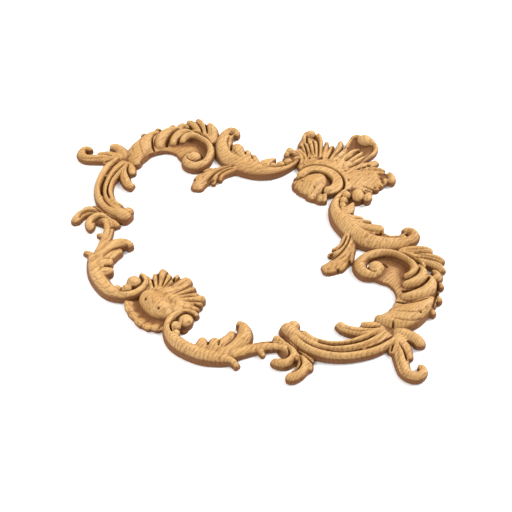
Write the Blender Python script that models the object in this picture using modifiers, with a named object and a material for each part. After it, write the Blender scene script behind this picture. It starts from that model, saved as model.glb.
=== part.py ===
"""Carved oak applique: a scrolled leaf frame that lies on its flat back.

The ornament's up is +Y and its front is +Z. The crest shell is at +Y, the foot shell at -Y, and the two
sides mirror each other in X. Places and sizes in the tables are millimetres on the carver's drawing, from
the frame's centre line, and three driving dimensions scale that drawing to the real piece.
"""

import math

import bmesh
import bpy
from mathutils import Matrix, Vector

# Driving dimensions of the finished piece, in metres.
ORNAMENT_WIDTH = 0.5341
ORNAMENT_HEIGHT = 0.4173
ORNAMENT_DEPTH = 0.0160

# The back's own origin: the middle of the crest's flat back.
BACK_ORIGIN_Y = 150.0

# How a cut is drawn out along its path.
SIDES = 14
RINGS = 18
BELOW_BACK = 4.0
NOSE_POWER = 0.5
WALL_POWER = 0.35
LEAST_WALL = 0.35

# The turn of the scroll round the crest's dome, in degrees from +X.
SCROLL_FROM = -20.0
SCROLL_TO = 200.0
SCROLL_STEPS = 20

# The crest's dome stands a little right of the centre line, inside its scroll.
DOME_X = 2.0
DOME_Y = 138.0
SCROLL_RADIUS = 24.5
SCROLL_HALF_WIDTH = 6.5
SCROLL_HEIGHT = 10.0

# How the cuts become one faceted solid.
VOXEL = 0.0012
FACETS_KEPT = 0.025
BACK_CUTTER_DEPTH = 0.020

OAK_COLOUR = (0.55, 0.31, 0.125, 1.0)
OAK_ROUGHNESS = 0.62


def smooth_path(stations, share):
    """One value set at a share of the way along the stations, on a Catmull-Rom curve through them."""
    spans = len(stations) - 1
    place = min(max(share, 0.0), 1.0) * spans
    span = min(int(place), spans - 1)
    t = place - span
    before = stations[max(span - 1, 0)]
    start = stations[span]
    end = stations[span + 1]
    after = stations[min(span + 2, spans)]
    return [
        0.5 * (2 * b + (c - a) * t + (2 * a - 5 * b + 4 * c - d) * t * t + (3 * b - a - 3 * c + d) * t ** 3)
        for a, b, c, d in zip(before, start, end, after)
    ]


def nose(distance, radius):
    """How full a round end is at a distance from its very tip: 0 at the tip, 1 past the radius."""
    inside = max(0.0, 1.0 - distance / max(radius, 0.1))
    return math.sqrt(max(0.0, 1.0 - inside * inside))


def cut(bm, *stations, crown=0.8, blunt=0.0):
    """One carved leaf, rib or scroll: a ball drawn out along a path, down through the back.

    A station is x, y, half width and height. The crown is how far the round top stands over the walls, as
    a share of the half width, and a blunt share keeps the two ends wide.
    """
    length = sum(math.dist(a[:2], b[:2]) for a, b in zip(stations, stations[1:]))
    ball = bmesh.ops.create_uvsphere(bm, u_segments=SIDES, v_segments=RINGS, radius=1.0)
    for vertex in ball["verts"]:
        share = 0.5 + 0.5 * vertex.co.z
        around = math.atan2(vertex.co.y, vertex.co.x)
        x, y, half, height = smooth_path(stations, share)
        behind = smooth_path(stations, share - 0.01)
        ahead = smooth_path(stations, share + 0.01)
        along = Vector((ahead[0] - behind[0], ahead[1] - behind[1], 0.0)).normalized()
        side = Vector((-along.y, along.x, 0.0))
        full = min(nose(share * length, half), nose((1 - share) * length, half))
        full = blunt + (1 - blunt) * full
        wall = max(height - crown * half, LEAST_WALL * height)
        across = math.cos(around)
        if math.sin(around) > 0:
            up = wall + (height - wall) * math.sin(around) * full
        else:
            across = math.copysign(abs(across) ** WALL_POWER, across)
            up = wall - (wall + BELOW_BACK) * abs(math.sin(around)) ** WALL_POWER * full ** NOSE_POWER
        vertex.co = Vector((x, y, up)) + side * (across * half * full)


def bead(bm, x, y, radius, height, stretch=1.0, turn=0.0):
    """A berry or a button: a ball, or one stretched along a turned axis, with its top at a height."""
    place = (
        Matrix.Translation((x, y, height - radius))
        @ Matrix.Rotation(math.radians(turn), 4, "Z")
        @ Matrix.Diagonal((stretch, 1.0, 1.0, 1.0))
    )
    bmesh.ops.create_uvsphere(bm, u_segments=SIDES, v_segments=SIDES // 2, radius=radius, matrix=place)
    foot = place @ Matrix.Translation((0, 0, -0.5 * (height - radius) - BELOW_BACK / 2))
    bmesh.ops.create_cone(
        bm, cap_ends=True, segments=SIDES, radius1=radius * 0.9, radius2=radius * 0.9,
        depth=height - radius + BELOW_BACK, matrix=foot,
    )


def crest_side(bm):
    """One side of the shell at the top: its centre lobe, its ribs, the husk and the berries."""
    cut(bm, (0, 130, 20, 4), (0, 180, 20, 4), (0, 232, 19, 4), blunt=0.4)
    cut(bm, (16, 140, 18, 4), (36, 170, 18, 4), (54, 193, 14, 4), blunt=0.3)
    cut(bm, (0, 150, 4, 10), (0, 195, 4.5, 9), (0, 224, 5, 6), (0, 236, 5, 5))
    cut(bm, (7, 150, 3.5, 10), (9, 195, 4, 9), (11, 224, 4.5, 7), (10, 237, 5, 7))
    cut(bm, (12, 150, 3.5, 9), (17, 190, 4, 9), (21, 220, 4.5, 9), (19, 240, 5, 9))
    bead(bm, 0, 241, 8.5, 15, stretch=1.1)
    ribs = (
        ((16, 160), (23, 200), (30, 226), 4.0, 6),
        ((18, 158), (28, 193), (34, 215), 3.5, 5),
        ((20, 156), (34, 188), (43, 211), 4.5, 6),
        ((23, 154), (43, 186), (54, 208), 4.5, 8),
        ((26, 152), (49, 182), (67, 207), 5.5, 9),
        ((28, 150), (51, 177), (69, 196), 4.5, 6),
        ((30, 148), (49, 169), (65, 185), 4.5, 5),
        ((32, 146), (48, 162), (62, 174), 4.0, 5),
    )
    for root, middle, tip, half, height in ribs:
        cut(bm, (*root, 3, 9), (*middle, half * 0.9, 8), (*tip, half, height))
    bead(bm, 64, 204, 6.0, 11)
    cut(bm, (38, 156, 5, 6), (52, 166, 5, 6), (62, 163, 5.5, 7), (65, 154, 4, 6))
    bead(bm, 54, 152, 6.5, 11, stretch=1.6, turn=-60)
    bead(bm, 44.5, 143, 6.2, 11)
    bead(bm, 46.5, 132, 5.5, 10)
    bead(bm, 51, 124.5, 4.5, 9)


def crest_middle(bm):
    """The dome in the middle of the crest with its scalloped apron, and the scroll that rings it."""
    dome = ((0, 152, 13, 13), (0, DOME_Y, 16.5, 16), (0, 124, 14, 12.5), (0, 113, 9, 7))
    cut(bm, *((DOME_X + x, y, half, height) for x, y, half, height in dome), crown=0.6, blunt=0.2)
    apron = (
        ((4, 142, 11, 13), (7, 125, 9, 10), (9, 110, 8, 5)),
        ((7, 140, 9, 11), (15, 127, 8, 8), (22, 118, 6.5, 5)),
    )
    for side in (-1, 1):
        for lobe in apron:
            cut(bm, *((DOME_X + side * x, y, half, height) for x, y, half, height in lobe), crown=0.5)
    scroll = []
    for step in range(SCROLL_STEPS + 1):
        turn = math.radians(SCROLL_FROM + (SCROLL_TO - SCROLL_FROM) * step / SCROLL_STEPS)
        x = DOME_X + SCROLL_RADIUS * math.cos(turn)
        y = DOME_Y + SCROLL_RADIUS * math.sin(turn)
        scroll.append((x, y, SCROLL_HALF_WIDTH, SCROLL_HEIGHT))
    cut(bm, *scroll)
    bead(bm, 25, 134, 8, 13)


def upper_branch(bm):
    """The fluted branch from the crest's berries to its curled tip, with three lobes on its inner side."""
    cut(bm, (35, 160, 4, 8), (38, 138, 6, 11), (46, 118, 10, 13), (66, 107, 16, 14), (95, 102, 18, 14),
        (122, 107, 15, 12), (139, 120, 10, 10), (147, 134, 6.5, 8), (142, 142, 4, 7), (135, 139, 3.5, 6))
    cut(bm, (80, 108, 5, 14), (101, 113, 6, 12), (115, 126, 6, 8))
    cut(bm, (70, 110, 5, 14), (86, 113, 5, 12), (97, 123, 5, 8))
    cut(bm, (54, 112, 6, 13), (60, 124, 5, 9), (62, 134, 4, 6))
    cut(bm, (100, 98, 6, 14), (124, 106, 6, 12), (131, 118, 5, 9), (132, 126, 3.5, 6))
    bead(bm, 134, 137, 4.8, 8)


def drop_leaf(bm):
    """The leaf that hangs into the opening from the upper branch."""
    cut(bm, (84, 92, 8, 10), (96, 80, 9, 9), (105, 63, 10, 7), (106, 48, 9.5, 6), (101, 36, 7, 4),
        (94, 27, 3.5, 4))
    cut(bm, (82, 92, 6, 9), (87, 77, 5, 8), (90, 67, 3.5, 4), (89, 61, 3, 4))
    cut(bm, (88, 86, 5, 9), (95, 68, 4, 7), (93, 58, 3.5, 4), (90, 52, 3, 4))


def upper_scroll(bm):
    """The C scroll of the upper side: its volute and trough, and the leaf that wraps it."""
    cut(bm, (143, 74, 11, 4), (160, 84, 12, 4), (181, 79, 12, 4), (198, 62, 13, 4), (207, 40, 15, 5),
        (204, 16, 14, 5), (207, 0, 12, 4), crown=0.3)
    cut(bm, (190, 85, 5, 10), (170, 97, 6, 11), (150, 96, 7, 11), (135, 85, 8, 11), (128.5, 71, 8.2, 10),
        (131, 60, 8.2, 9), (139.5, 57, 7.5, 9), (149, 60.5, 6, 9), (149, 68, 5, 10))
    cut(bm, (152, 67, 3, 7), (165, 72.5, 3.5, 7), (180.5, 68, 4, 7), (191.5, 53, 4.5, 8), (194, 38, 5, 8))
    bead(bm, 144, 66, 8.5, 12)
    wraps = (
        ((187, 96, 5, 9), (181, 86, 5.5, 12), (176, 73, 4.5, 10)),
        ((197, 92, 5, 8), (190, 79, 6, 13), (182, 63, 4.5, 10)),
        ((210, 88, 5, 7), (203, 74, 6, 12), (197, 63, 6, 13), (190, 52, 4, 10)),
        ((220, 74, 5, 6), (214, 60, 6.5, 12), (206, 47, 6.5, 13), (194, 38, 4.5, 10)),
        ((224, 56, 5, 6), (219, 44, 7, 12), (208, 31, 7, 13), (190, 25, 4.5, 9)),
        ((222, 38, 6, 6), (216, 26, 8, 12), (203, 17, 7, 12), (182, 10, 4.5, 8)),
    )
    for wrap in wraps:
        cut(bm, *wrap)
    for x, y in ((212, 89), (221, 72), (224, 54)):
        bead(bm, x, y, 5, 6.5)


def outer_fan(bm):
    """The leaf that spreads outside the upper scroll."""
    cut(bm, (148, 108, 6, 10), (165, 121, 8, 10), (179, 135, 6.5, 9))
    cut(bm, (156, 106, 5, 8), (177, 117, 6.5, 10), (194, 131, 6, 10))
    cut(bm, (164, 104, 5, 7), (185, 111, 6, 10), (204, 118, 5.5, 10))
    cut(bm, (178, 99, 5, 7), (191, 102, 6, 9), (206, 104, 6, 8))


def outer_curl(bm):
    """The cluster at mid height: the curled outer leaf with its lobes, and the leaf that hooks inward."""
    cut(bm, (214, 12, 10, 6), (228, -7, 9.5, 8), (240, -20, 7.5, 8), (252, -25, 6, 7),
        (261, -21, 5.5, 7), (262, -14, 4.5, 6))
    cut(bm, (208, 14, 8, 6), (224, 15, 7, 6), (242, 19, 5, 5))
    cut(bm, (210, 8, 8, 6), (230, 5, 6, 6), (247, 7, 5, 5))
    cut(bm, (214, 4, 8, 6), (233, -5, 6, 6), (249, -10, 4.5, 5))
    cut(bm, (216, 2, 6, 6), (221, -12, 5, 6), (223, -21, 3.5, 5))
    cut(bm, (200, 8, 8, 7), (190, -10, 7, 7), (177, -21, 6, 6), (163, -25, 5.5, 6), (155, -18, 4, 5))
    cut(bm, (192, 6, 6, 6), (182, -4, 5, 6), (171, -9, 3.5, 5))


def lower_scroll(bm):
    """The C scroll of the lower side: two rims, a rib between them and the rolled end."""
    floor = (
        (208, 6, 9, 4), (204, -16, 10, 4), (195, -35, 10.5, 4), (182, -52, 11, 4), (164, -64, 11, 5),
        (146, -67, 11, 6), (130, -65, 11, 6),
    )
    outer_rim = (
        (214, 0, 4, 8), (210, -20, 4, 9), (202, -36, 4, 9), (189, -52, 4.5, 9), (174, -65, 5, 9),
        (156, -72, 5, 9), (138, -73, 5, 8),
    )
    rib = (
        (207, 0, 3.5, 7), (202, -21, 3.5, 8), (193, -39, 3.5, 8), (180, -53, 4, 8), (164, -64, 4, 9),
        (146, -66, 5, 10),
    )
    inner_rim = (
        (198, -4, 4.5, 9), (194, -25, 4.5, 10), (184.5, -42, 5, 10), (171, -55, 5.5, 11),
        (155, -61.5, 6, 11), (139, -61, 6.5, 11),
    )
    cut(bm, *floor, crown=0.3)
    for line in (outer_rim, rib, inner_rim):
        cut(bm, *line)
    bead(bm, 128.5, -63.5, 12, 12)


def lower_leaves(bm):
    """The leaves under the lower scroll and the stem that leads to the lower branch."""
    cut(bm, (172, -80, 8, 4), (150, -84, 12, 4), (130, -84, 8, 4), crown=0.3)
    cut(bm, (156, -80, 6, 6), (168, -83, 6, 6), (176, -87, 4, 5))
    cut(bm, (154, -82, 6, 7), (165, -91, 6.5, 7), (168, -102, 6, 6), (164, -109, 4.5, 4))
    cut(bm, (138, -83, 6, 7), (148, -89, 6, 8), (148, -98, 6, 7), (140, -101, 5, 4))
    cut(bm, (138, -80, 5, 6), (128, -80, 4.5, 6), (121, -82, 4.5, 5))
    cut(bm, (124, -98, 4, 5), (129, -105, 3.5, 4))
    cut(bm, (140, -86, 5, 6), (131, -90, 6, 7), (122, -100, 6.5, 8), (113, -112, 6.5, 9),
        (105, -124, 7, 10), (97, -134, 8, 11))


def lower_branch(bm):
    """The branch that runs to the foot shell, with its upright leaf and two lobes, and the berries."""
    cut(
        bm, (121, -132.5, 3.5, 4), (109, -130.5, 4.5, 6), (97.5, -135.5, 7.5, 9), (82.5, -144, 9.5, 11),
        (67, -150.5, 9.5, 12), (50, -151.5, 10, 12), (36, -145, 8, 11), (29, -132, 5.5, 11),
        (32, -119, 4.5, 9), (41, -113, 3.5, 6),
    )
    cut(bm, (92, -142, 9, 10), (97, -122, 11, 10), (97, -107, 10.5, 9), (92, -95, 6, 8), (85, -91.5, 4, 7),
        (79, -95, 3, 4))
    cut(bm, (92, -118, 4, 8), (88, -110, 4, 6), (82, -105, 3, 4))
    cut(bm, (88, -140, 5, 10), (83, -131, 5.5, 9), (78.5, -124, 4.5, 6))
    cut(bm, (78, -145, 5, 10), (74, -138, 4.5, 8), (69, -131, 4, 6))
    bead(bm, 40, -127, 7.5, 11)
    bead(bm, 39.5, -139.5, 5.2, 10)
    bead(bm, 46.5, -143, 3.5, 9)
    bead(bm, 45, -114, 3.2, 6)


def foot_side(bm):
    """One side of the shell at the bottom: its ribs and the scalloped skirt."""
    cut(bm, (0, -145, 20, 4), (0, -115, 20, 4), (0, -86, 14, 4), blunt=0.3)
    cut(bm, (14, -145, 14, 4), (20, -118, 14, 4), (28, -100, 9, 4), blunt=0.3)
    cut(bm, (0, -125, 5, 11), (0, -98, 6, 9), (0, -74, 8, 8))
    ribs = (
        ((7, -125), (11, -100), (13.5, -82), 3.5, 7),
        ((10, -125), (17, -103), (21, -89), 3.5, 7),
        ((12, -124), (23, -104), (31.5, -86), 5.5, 9),
        ((14, -123), (26, -110), (34.5, -100), 3.5, 7),
        ((16, -121), (29, -113), (36.5, -108), 3.5, 7),
    )
    for root, middle, tip, half, height in ribs:
        cut(bm, (*root, 3, 10), (*middle, half * 0.9, 8), (*tip, half, height))
    cut(bm, (0, -140, 12, 4), (0, -168, 12, 5), crown=0.3, blunt=0.3)
    cut(bm, (14, -140, 10, 4), (20, -162, 9, 5), crown=0.3, blunt=0.3)
    cut(bm, (22, -140, 8, 4), (31, -152, 7, 5), crown=0.3, blunt=0.3)


def foot_middle(bm):
    """The plain dome over the foot's skirt."""
    cut(bm, (-23, -130, 12, 10), (-10, -132, 15, 13), (10, -132, 15, 13), (23, -130, 12, 10), crown=0.7)


def carving_mesh():
    """Every cut of one half, the same mirrored, and the middles, as overlapping closed shapes."""
    bm = bmesh.new()
    halves = (
        crest_side, upper_branch, drop_leaf, upper_scroll, outer_fan, outer_curl,
        lower_scroll, lower_leaves, lower_branch, foot_side,
    )
    for half in halves:
        half(bm)
    copied = bmesh.ops.duplicate(bm, geom=bm.verts[:] + bm.edges[:] + bm.faces[:])
    mirrored = [item for item in copied["geom"] if isinstance(item, bmesh.types.BMVert)]
    bmesh.ops.scale(bm, vec=(-1.0, 1.0, 1.0), verts=mirrored)
    crest_middle(bm)
    foot_middle(bm)
    bmesh.ops.translate(bm, vec=(0.0, -BACK_ORIGIN_Y, 0.0), verts=bm.verts)
    across = [vertex.co.x for vertex in bm.verts]
    upward = [vertex.co.y for vertex in bm.verts]
    scales = (
        ORNAMENT_WIDTH / (max(across) - min(across)),
        ORNAMENT_HEIGHT / (max(upward) - min(upward)),
        ORNAMENT_DEPTH / max(vertex.co.z for vertex in bm.verts),
    )
    bmesh.ops.scale(bm, vec=scales, verts=bm.verts)
    bmesh.ops.recalc_face_normals(bm, faces=bm.faces)
    mesh = bpy.data.meshes.new("applique")
    bm.to_mesh(mesh)
    bm.free()
    return mesh


def oak():
    """Bare honey-coloured oak."""
    material = bpy.data.materials.new("oak")
    material.use_nodes = True
    shader = material.node_tree.nodes["Principled BSDF"]
    shader.inputs["Base Color"].default_value = OAK_COLOUR
    shader.inputs["Roughness"].default_value = OAK_ROUGHNESS
    shader.inputs["Metallic"].default_value = 0.0
    return material


def collection(name):
    """A new collection in the scene."""
    made = bpy.data.collections.new(name)
    bpy.context.scene.collection.children.link(made)
    return made


def back_cutter():
    """A block whose top face is the plane of the back."""
    bm = bmesh.new()
    block = Matrix.Translation((0, 0, -BACK_CUTTER_DEPTH / 2)) @ Matrix.Diagonal(
        (2 * ORNAMENT_WIDTH, 4 * ORNAMENT_HEIGHT, BACK_CUTTER_DEPTH, 1.0)
    )
    bmesh.ops.create_cube(bm, size=1.0, matrix=block)
    mesh = bpy.data.meshes.new("back_cutter")
    bm.to_mesh(mesh)
    bm.free()
    cutter = bpy.data.objects.new("back_cutter", mesh)
    cutter.hide_render = True
    cutter.display_type = "WIRE"
    return cutter


def build():
    """Clears the scene, joins the cuts into one faceted solid and cuts its back flat."""
    for obj in list(bpy.data.objects):
        bpy.data.objects.remove(obj)
    pieces = collection("carved_applique")
    cutters = collection("cutters")
    cutter = back_cutter()
    cutters.objects.link(cutter)
    applique = bpy.data.objects.new("applique", carving_mesh())
    applique.data.materials.append(oak())
    pieces.objects.link(applique)
    joined = applique.modifiers.new("joined", "REMESH")
    joined.mode = "VOXEL"
    joined.voxel_size = VOXEL
    faceted = applique.modifiers.new("faceted", "DECIMATE")
    faceted.ratio = FACETS_KEPT
    flat_back = applique.modifiers.new("flat_back", "BOOLEAN")
    flat_back.operation = "DIFFERENCE"
    flat_back.solver = "EXACT"
    flat_back.object = cutter


build()
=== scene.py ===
"""Looks of the carved oak applique: the finished carving, its bare oak, the pale ground and the studio.

Places and sizes in the carving's tables are millimetres on the carver's drawing, the same drawing that
the solid follows: +X is the viewer's right, +Y is up and the centre line is x = 0. Heights rise from the
flat back.
"""

import logging
import math
from dataclasses import dataclass, field, replace
from enum import Enum
from typing import Iterable, Sequence

import bmesh
import bpy
import numpy as np
from mathutils import Matrix, Vector


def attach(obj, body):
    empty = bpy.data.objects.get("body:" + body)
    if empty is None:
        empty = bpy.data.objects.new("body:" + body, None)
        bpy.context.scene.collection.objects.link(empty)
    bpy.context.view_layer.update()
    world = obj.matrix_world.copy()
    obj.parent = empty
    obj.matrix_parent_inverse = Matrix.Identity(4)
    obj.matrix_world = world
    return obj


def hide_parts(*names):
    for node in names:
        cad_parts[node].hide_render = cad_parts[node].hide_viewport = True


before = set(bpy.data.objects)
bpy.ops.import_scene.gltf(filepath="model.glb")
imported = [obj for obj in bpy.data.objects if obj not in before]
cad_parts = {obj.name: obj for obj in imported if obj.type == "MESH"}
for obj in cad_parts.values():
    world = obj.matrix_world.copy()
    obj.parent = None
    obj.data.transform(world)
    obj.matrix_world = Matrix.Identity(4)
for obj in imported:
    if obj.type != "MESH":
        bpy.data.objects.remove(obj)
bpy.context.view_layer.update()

LOG = logging.getLogger("applique")

MM = 0.001
# Keeps a division by a length or an area that may be nothing safe.
TINY = 1e-9
# The least radius of a round end, and the least share of held cells that an average is divided by.
LEAST_NOSE = 0.1
LEAST_HELD = 1e-6
# The drawing's y at the row's origin: the middle of the crest's flat back.
BACK_ORIGIN_Y = 150.0

Station = tuple[float, float, float, float]
Point = tuple[float, float]
Triple = tuple[float, float, float]


class Side(Enum):
    """Which half of the ornament a carved member stands on."""

    RIGHT = 1
    LEFT = -1


def along_stations(stations: Sequence[Sequence[float]], share: float) -> list[float]:
    """Reads one set of values at a share of the way along the stations.

    Args:
        stations: The value sets, each as long as the others.
        share: How far along, from 0 at the first station to 1 at the last.

    Returns:
        The values there, on a Catmull-Rom curve through the stations.
    """
    spans = len(stations) - 1
    place = min(max(share, 0.0), 1.0) * spans
    span = min(int(place), spans - 1)
    t = place - span
    before = stations[max(span - 1, 0)]
    start = stations[span]
    end = stations[span + 1]
    after = stations[min(span + 2, spans)]
    return [
        0.5 * (2 * b + (c - a) * t + (2 * a - 5 * b + 4 * c - d) * t * t + (3 * b - a - 3 * c + d) * t**3)
        for a, b, c, d in zip(before, start, end, after)
    ]


def mesh_of(bm: bmesh.types.BMesh, name: str) -> bpy.types.Mesh:
    """Turns a finished bmesh into a mesh and frees it.

    Args:
        bm: The bmesh, which is used up.
        name: The mesh's name.

    Returns:
        The mesh.
    """
    mesh = bpy.data.meshes.new(name)
    bm.to_mesh(mesh)
    bm.free()
    return mesh


def vertex_places(mesh: bpy.types.Mesh) -> np.ndarray:
    """Reads a mesh's vertices.

    Args:
        mesh: The mesh.

    Returns:
        Their places, as rows of x, y and z.
    """
    places = np.empty(len(mesh.vertices) * 3, np.float32)
    mesh.vertices.foreach_get("co", places)
    return places.reshape(-1, 3).astype(float)


def place_vertices(mesh: bpy.types.Mesh, places: np.ndarray) -> None:
    """Moves a mesh's vertices to rows of x, y and z."""
    mesh.vertices.foreach_set("co", places.astype(np.float32).ravel())
    mesh.update()


def nose(distance: float, radius: float) -> float:
    """Tells how full a round end is at a distance from its tip, from 0 at the tip to 1 past the radius."""
    inside = max(0.0, 1.0 - distance / max(radius, LEAST_NOSE))
    return math.sqrt(max(0.0, 1.0 - inside * inside))


@dataclass(frozen=True)
class Stroke:
    """One carved leaf, rib or scroll: a ball drawn out along a path and down to the back.

    Attributes:
        stations: x, y, half width and height at places along the path.
        crown: How much the top rounds off towards its edges, 0 being flat.
        blunt: How much of the width the two ends keep.
        flutes: How many ridges run side by side along the top.
        flute_depth: How deep the valleys between those ridges are.
        hollow: How far the middle of the top dips between its two rims.
        lean: How much higher the left edge stands than the right, seen along the path.
        scoops: Hollows cut into this form alone, before others join it.
    """

    stations: tuple[Station, ...]
    crown: float = 0.8
    blunt: float = 0.0
    flutes: int = 0
    flute_depth: float = 0.0
    hollow: float = 0.0
    lean: float = 0.0
    scoops: "tuple[Gouge, ...]" = ()

    # The wall's least share of the height, how fast the crown lowers it, and how softly the top leaves it.
    LEAST_WALL = 0.14
    ROUNDING = 1.7
    EDGE_POWER = 1.6
    # Places that rise less than this belong to the walls.
    EDGE = 1e-6
    # How square the walls stand, less being squarer, and how they narrow towards the ends.
    WALL_POWER = 0.35
    NOSE_POWER = 0.5
    # How fast flutes and hollows come in from the ends and from the edges.
    END_RATE = 4.0
    END_LEAST = 0.15
    EDGE_RATE = 3.0
    # How far to each side of a place the path's direction is read, as a share of the path.
    LOOK = 0.01
    # How fine the ball is.
    RING_PITCH = 1.4
    FEWEST_RINGS = 18
    MOST_RINGS = 110
    PLAIN_SIDES = 32
    SIDES_PER_FLUTE = 20

    def length(self) -> float:
        """Measures the path along its stations."""
        return sum(math.dist(a[:2], b[:2]) for a, b in zip(self.stations, self.stations[1:]))

    def top(self, across: np.ndarray, rise: np.ndarray, share: np.ndarray) -> np.ndarray:
        """Shapes the top's cross-section.

        Args:
            across: Places across the form, from -1 at the right edge to 1 at the left.
            rise: Heights of the plain round top there, from 0 to 1.
            share: How far along the path each section lies.

        Returns:
            Millimetres to add to the plain round top at each place.
        """
        ends = np.minimum(1.0, self.END_RATE * np.minimum(share, 1.0 - share) + self.END_LEAST)
        added = self.lean * across * 0.5
        if self.flutes:
            turn = np.arccos(np.clip(across, -1.0, 1.0)) / math.pi
            valley = 1.0 - np.abs(np.sin(math.pi * self.flutes * turn))
            added = added - self.flute_depth * ends * np.sqrt(rise) * valley
        if self.hollow:
            added = added - self.hollow * ends * np.cos(0.5 * math.pi * across) ** 2
        return added

    def draw(self) -> bpy.types.Mesh:
        """Draws the stroke out along its path.

        Returns:
            Its closed shape, in drawing millimetres.
        """
        length = self.length()
        rings = int(min(max(length / self.RING_PITCH, self.FEWEST_RINGS), self.MOST_RINGS))
        sides = max(self.PLAIN_SIDES, self.flutes * self.SIDES_PER_FLUTE)
        bm = bmesh.new()
        bmesh.ops.create_uvsphere(bm, u_segments=sides, v_segments=rings, radius=1.0)
        mesh = mesh_of(bm, "stroke")
        ball = vertex_places(mesh)
        levels, ring = np.unique(ball[:, 2].round(5), return_inverse=True)
        sections = np.array([self.section(0.5 + 0.5 * level, length) for level in levels])[ring.ravel()]
        share, x, y, side_x, side_y, half, height, wall, full = sections.T
        around = np.arctan2(ball[:, 1], ball[:, 0])
        across, rise = np.cos(around), np.sin(around)
        upper = rise > self.EDGE
        over = np.where(upper, rise, 0.0)
        crown = wall + (height - wall) * over**self.EDGE_POWER * full
        crown += self.top(across, over, share) * full * np.minimum(1.0, self.EDGE_RATE * over)
        under = np.abs(np.where(upper, 0.0, rise)) ** self.WALL_POWER * full**self.NOSE_POWER
        squared = np.sign(across) * np.abs(across) ** self.WALL_POWER
        out = np.where(upper, across, squared) * half * full
        up = np.maximum(np.where(upper, crown, wall * (1.0 - under)), 0.0)
        points = np.stack([x + side_x * out, y + side_y * out, up], axis=1)
        for scoop in self.scoops:
            scoop.sink(points)
        place_vertices(mesh, points)
        return mesh

    def section(self, share: float, length: float) -> tuple[float, ...]:
        """Works out the section at a share of the way along.

        Args:
            share: How far along the path, from 0 to 1.
            length: The path's length.

        Returns:
            The share, x, y, the x and y of its sideways direction, half width, height, wall and fullness.
        """
        x, y, half, height = along_stations(self.stations, share)
        behind = along_stations(self.stations, share - self.LOOK)
        ahead = along_stations(self.stations, share + self.LOOK)
        run_x, run_y = ahead[0] - behind[0], ahead[1] - behind[1]
        run = max(math.hypot(run_x, run_y), TINY)
        full = min(nose(share * length, half), nose((1 - share) * length, half))
        full = self.blunt + (1 - self.blunt) * full
        wall = max(height - self.ROUNDING * self.crown * half, self.LEAST_WALL * height)
        return share, x, y, -run_y / run, run_x / run, half, height, wall, full


@dataclass(frozen=True)
class Bead:
    """A berry, a button or a bulb: a ball, or one stretched along a turned axis, on a foot down to the back.

    Attributes:
        x: Place across the ornament.
        y: Place up the ornament.
        radius: The ball's radius.
        height: The height of its top.
        stretch: How many times longer it is along its own axis.
        turn: Degrees from +X to that axis.
    """

    x: float
    y: float
    radius: float
    height: float
    stretch: float = 1.0
    turn: float = 0.0

    SIDES = 40
    FOOT_SHARE = 0.86

    def draw(self) -> bpy.types.Mesh:
        """Makes the bead's ball and foot.

        Returns:
            Their closed shapes, in drawing millimetres.
        """
        bm = bmesh.new()
        place = (
            Matrix.Translation((self.x, self.y, self.height - self.radius))
            @ Matrix.Rotation(math.radians(self.turn), 4, "Z")
            @ Matrix.Diagonal((self.stretch, 1.0, 1.0, 1.0))
        )
        ball = bmesh.ops.create_uvsphere(
            bm, u_segments=self.SIDES, v_segments=self.SIDES // 2, radius=self.radius, matrix=place
        )
        for vertex in ball["verts"]:
            vertex.co.z = max(vertex.co.z, 0.0)
        depth = self.height - self.radius
        foot = place @ Matrix.Translation((0.0, 0.0, -0.5 * depth))
        wide = self.radius * self.FOOT_SHARE
        bmesh.ops.create_cone(
            bm, cap_ends=True, segments=self.SIDES, radius1=wide, radius2=wide, depth=depth, matrix=foot
        )
        return mesh_of(bm, "bead")


@dataclass(frozen=True)
class Gouge:
    """A groove, a slot or a pin-hole sunk into the finished top.

    Attributes:
        path: Points along the groove's bottom. One point makes a round hole.
        half: Half the groove's width.
        depth: How deep it is in the middle of its length.
        taper: Share of the length over which each end runs out.
    """

    path: tuple[Point, ...]
    half: float
    depth: float
    taper: float = 0.3

    STEPS = 40
    # No gouge goes deeper than this height, and its ends run out by this power.
    LEAST_HEIGHT = 1.2
    RUN_OUT_POWER = 0.6

    def sink(self, points: np.ndarray) -> None:
        """Presses the points down in place where the groove runs.

        Args:
            points: Rows of x, y and height in drawing millimetres.
        """
        if len(self.path) == 1:
            line = np.array(self.path * 2, float)
        else:
            line = np.array([along_stations(self.path, k / self.STEPS) for k in range(self.STEPS + 1)])
        low = line.min(axis=0) - self.half
        high = line.max(axis=0) + self.half
        near = np.flatnonzero(((points[:, :2] >= low) & (points[:, :2] <= high)).all(axis=1))
        if not len(near):
            return
        flat = points[near, :2]
        away = np.full(len(near), np.inf)
        depth = np.zeros(len(near))
        spans = len(line) - 1
        for span in range(spans):
            start, run = line[span], line[span + 1] - line[span]
            share = np.clip(((flat - start) @ run) / max(run @ run, TINY), 0.0, 1.0)
            gap = np.linalg.norm(flat - start - share[:, None] * run, axis=1)
            along = (span + share) / spans
            ends = np.clip(np.minimum(along, 1.0 - along) / self.taper, 0.0, 1.0)
            ends = np.ones_like(along) if len(self.path) == 1 else ends**self.RUN_OUT_POWER
            closer = gap < away
            away[closer] = gap[closer]
            depth[closer] = (self.depth * ends)[closer]
        inside = np.clip(1.0 - away / self.half, 0.0, 1.0)
        lowered = points[near, 2] - depth * inside * (2.0 - inside)
        points[near, 2] = np.where(
            points[near, 2] > self.LEAST_HEIGHT, np.maximum(lowered, self.LEAST_HEIGHT), points[near, 2]
        )


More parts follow.
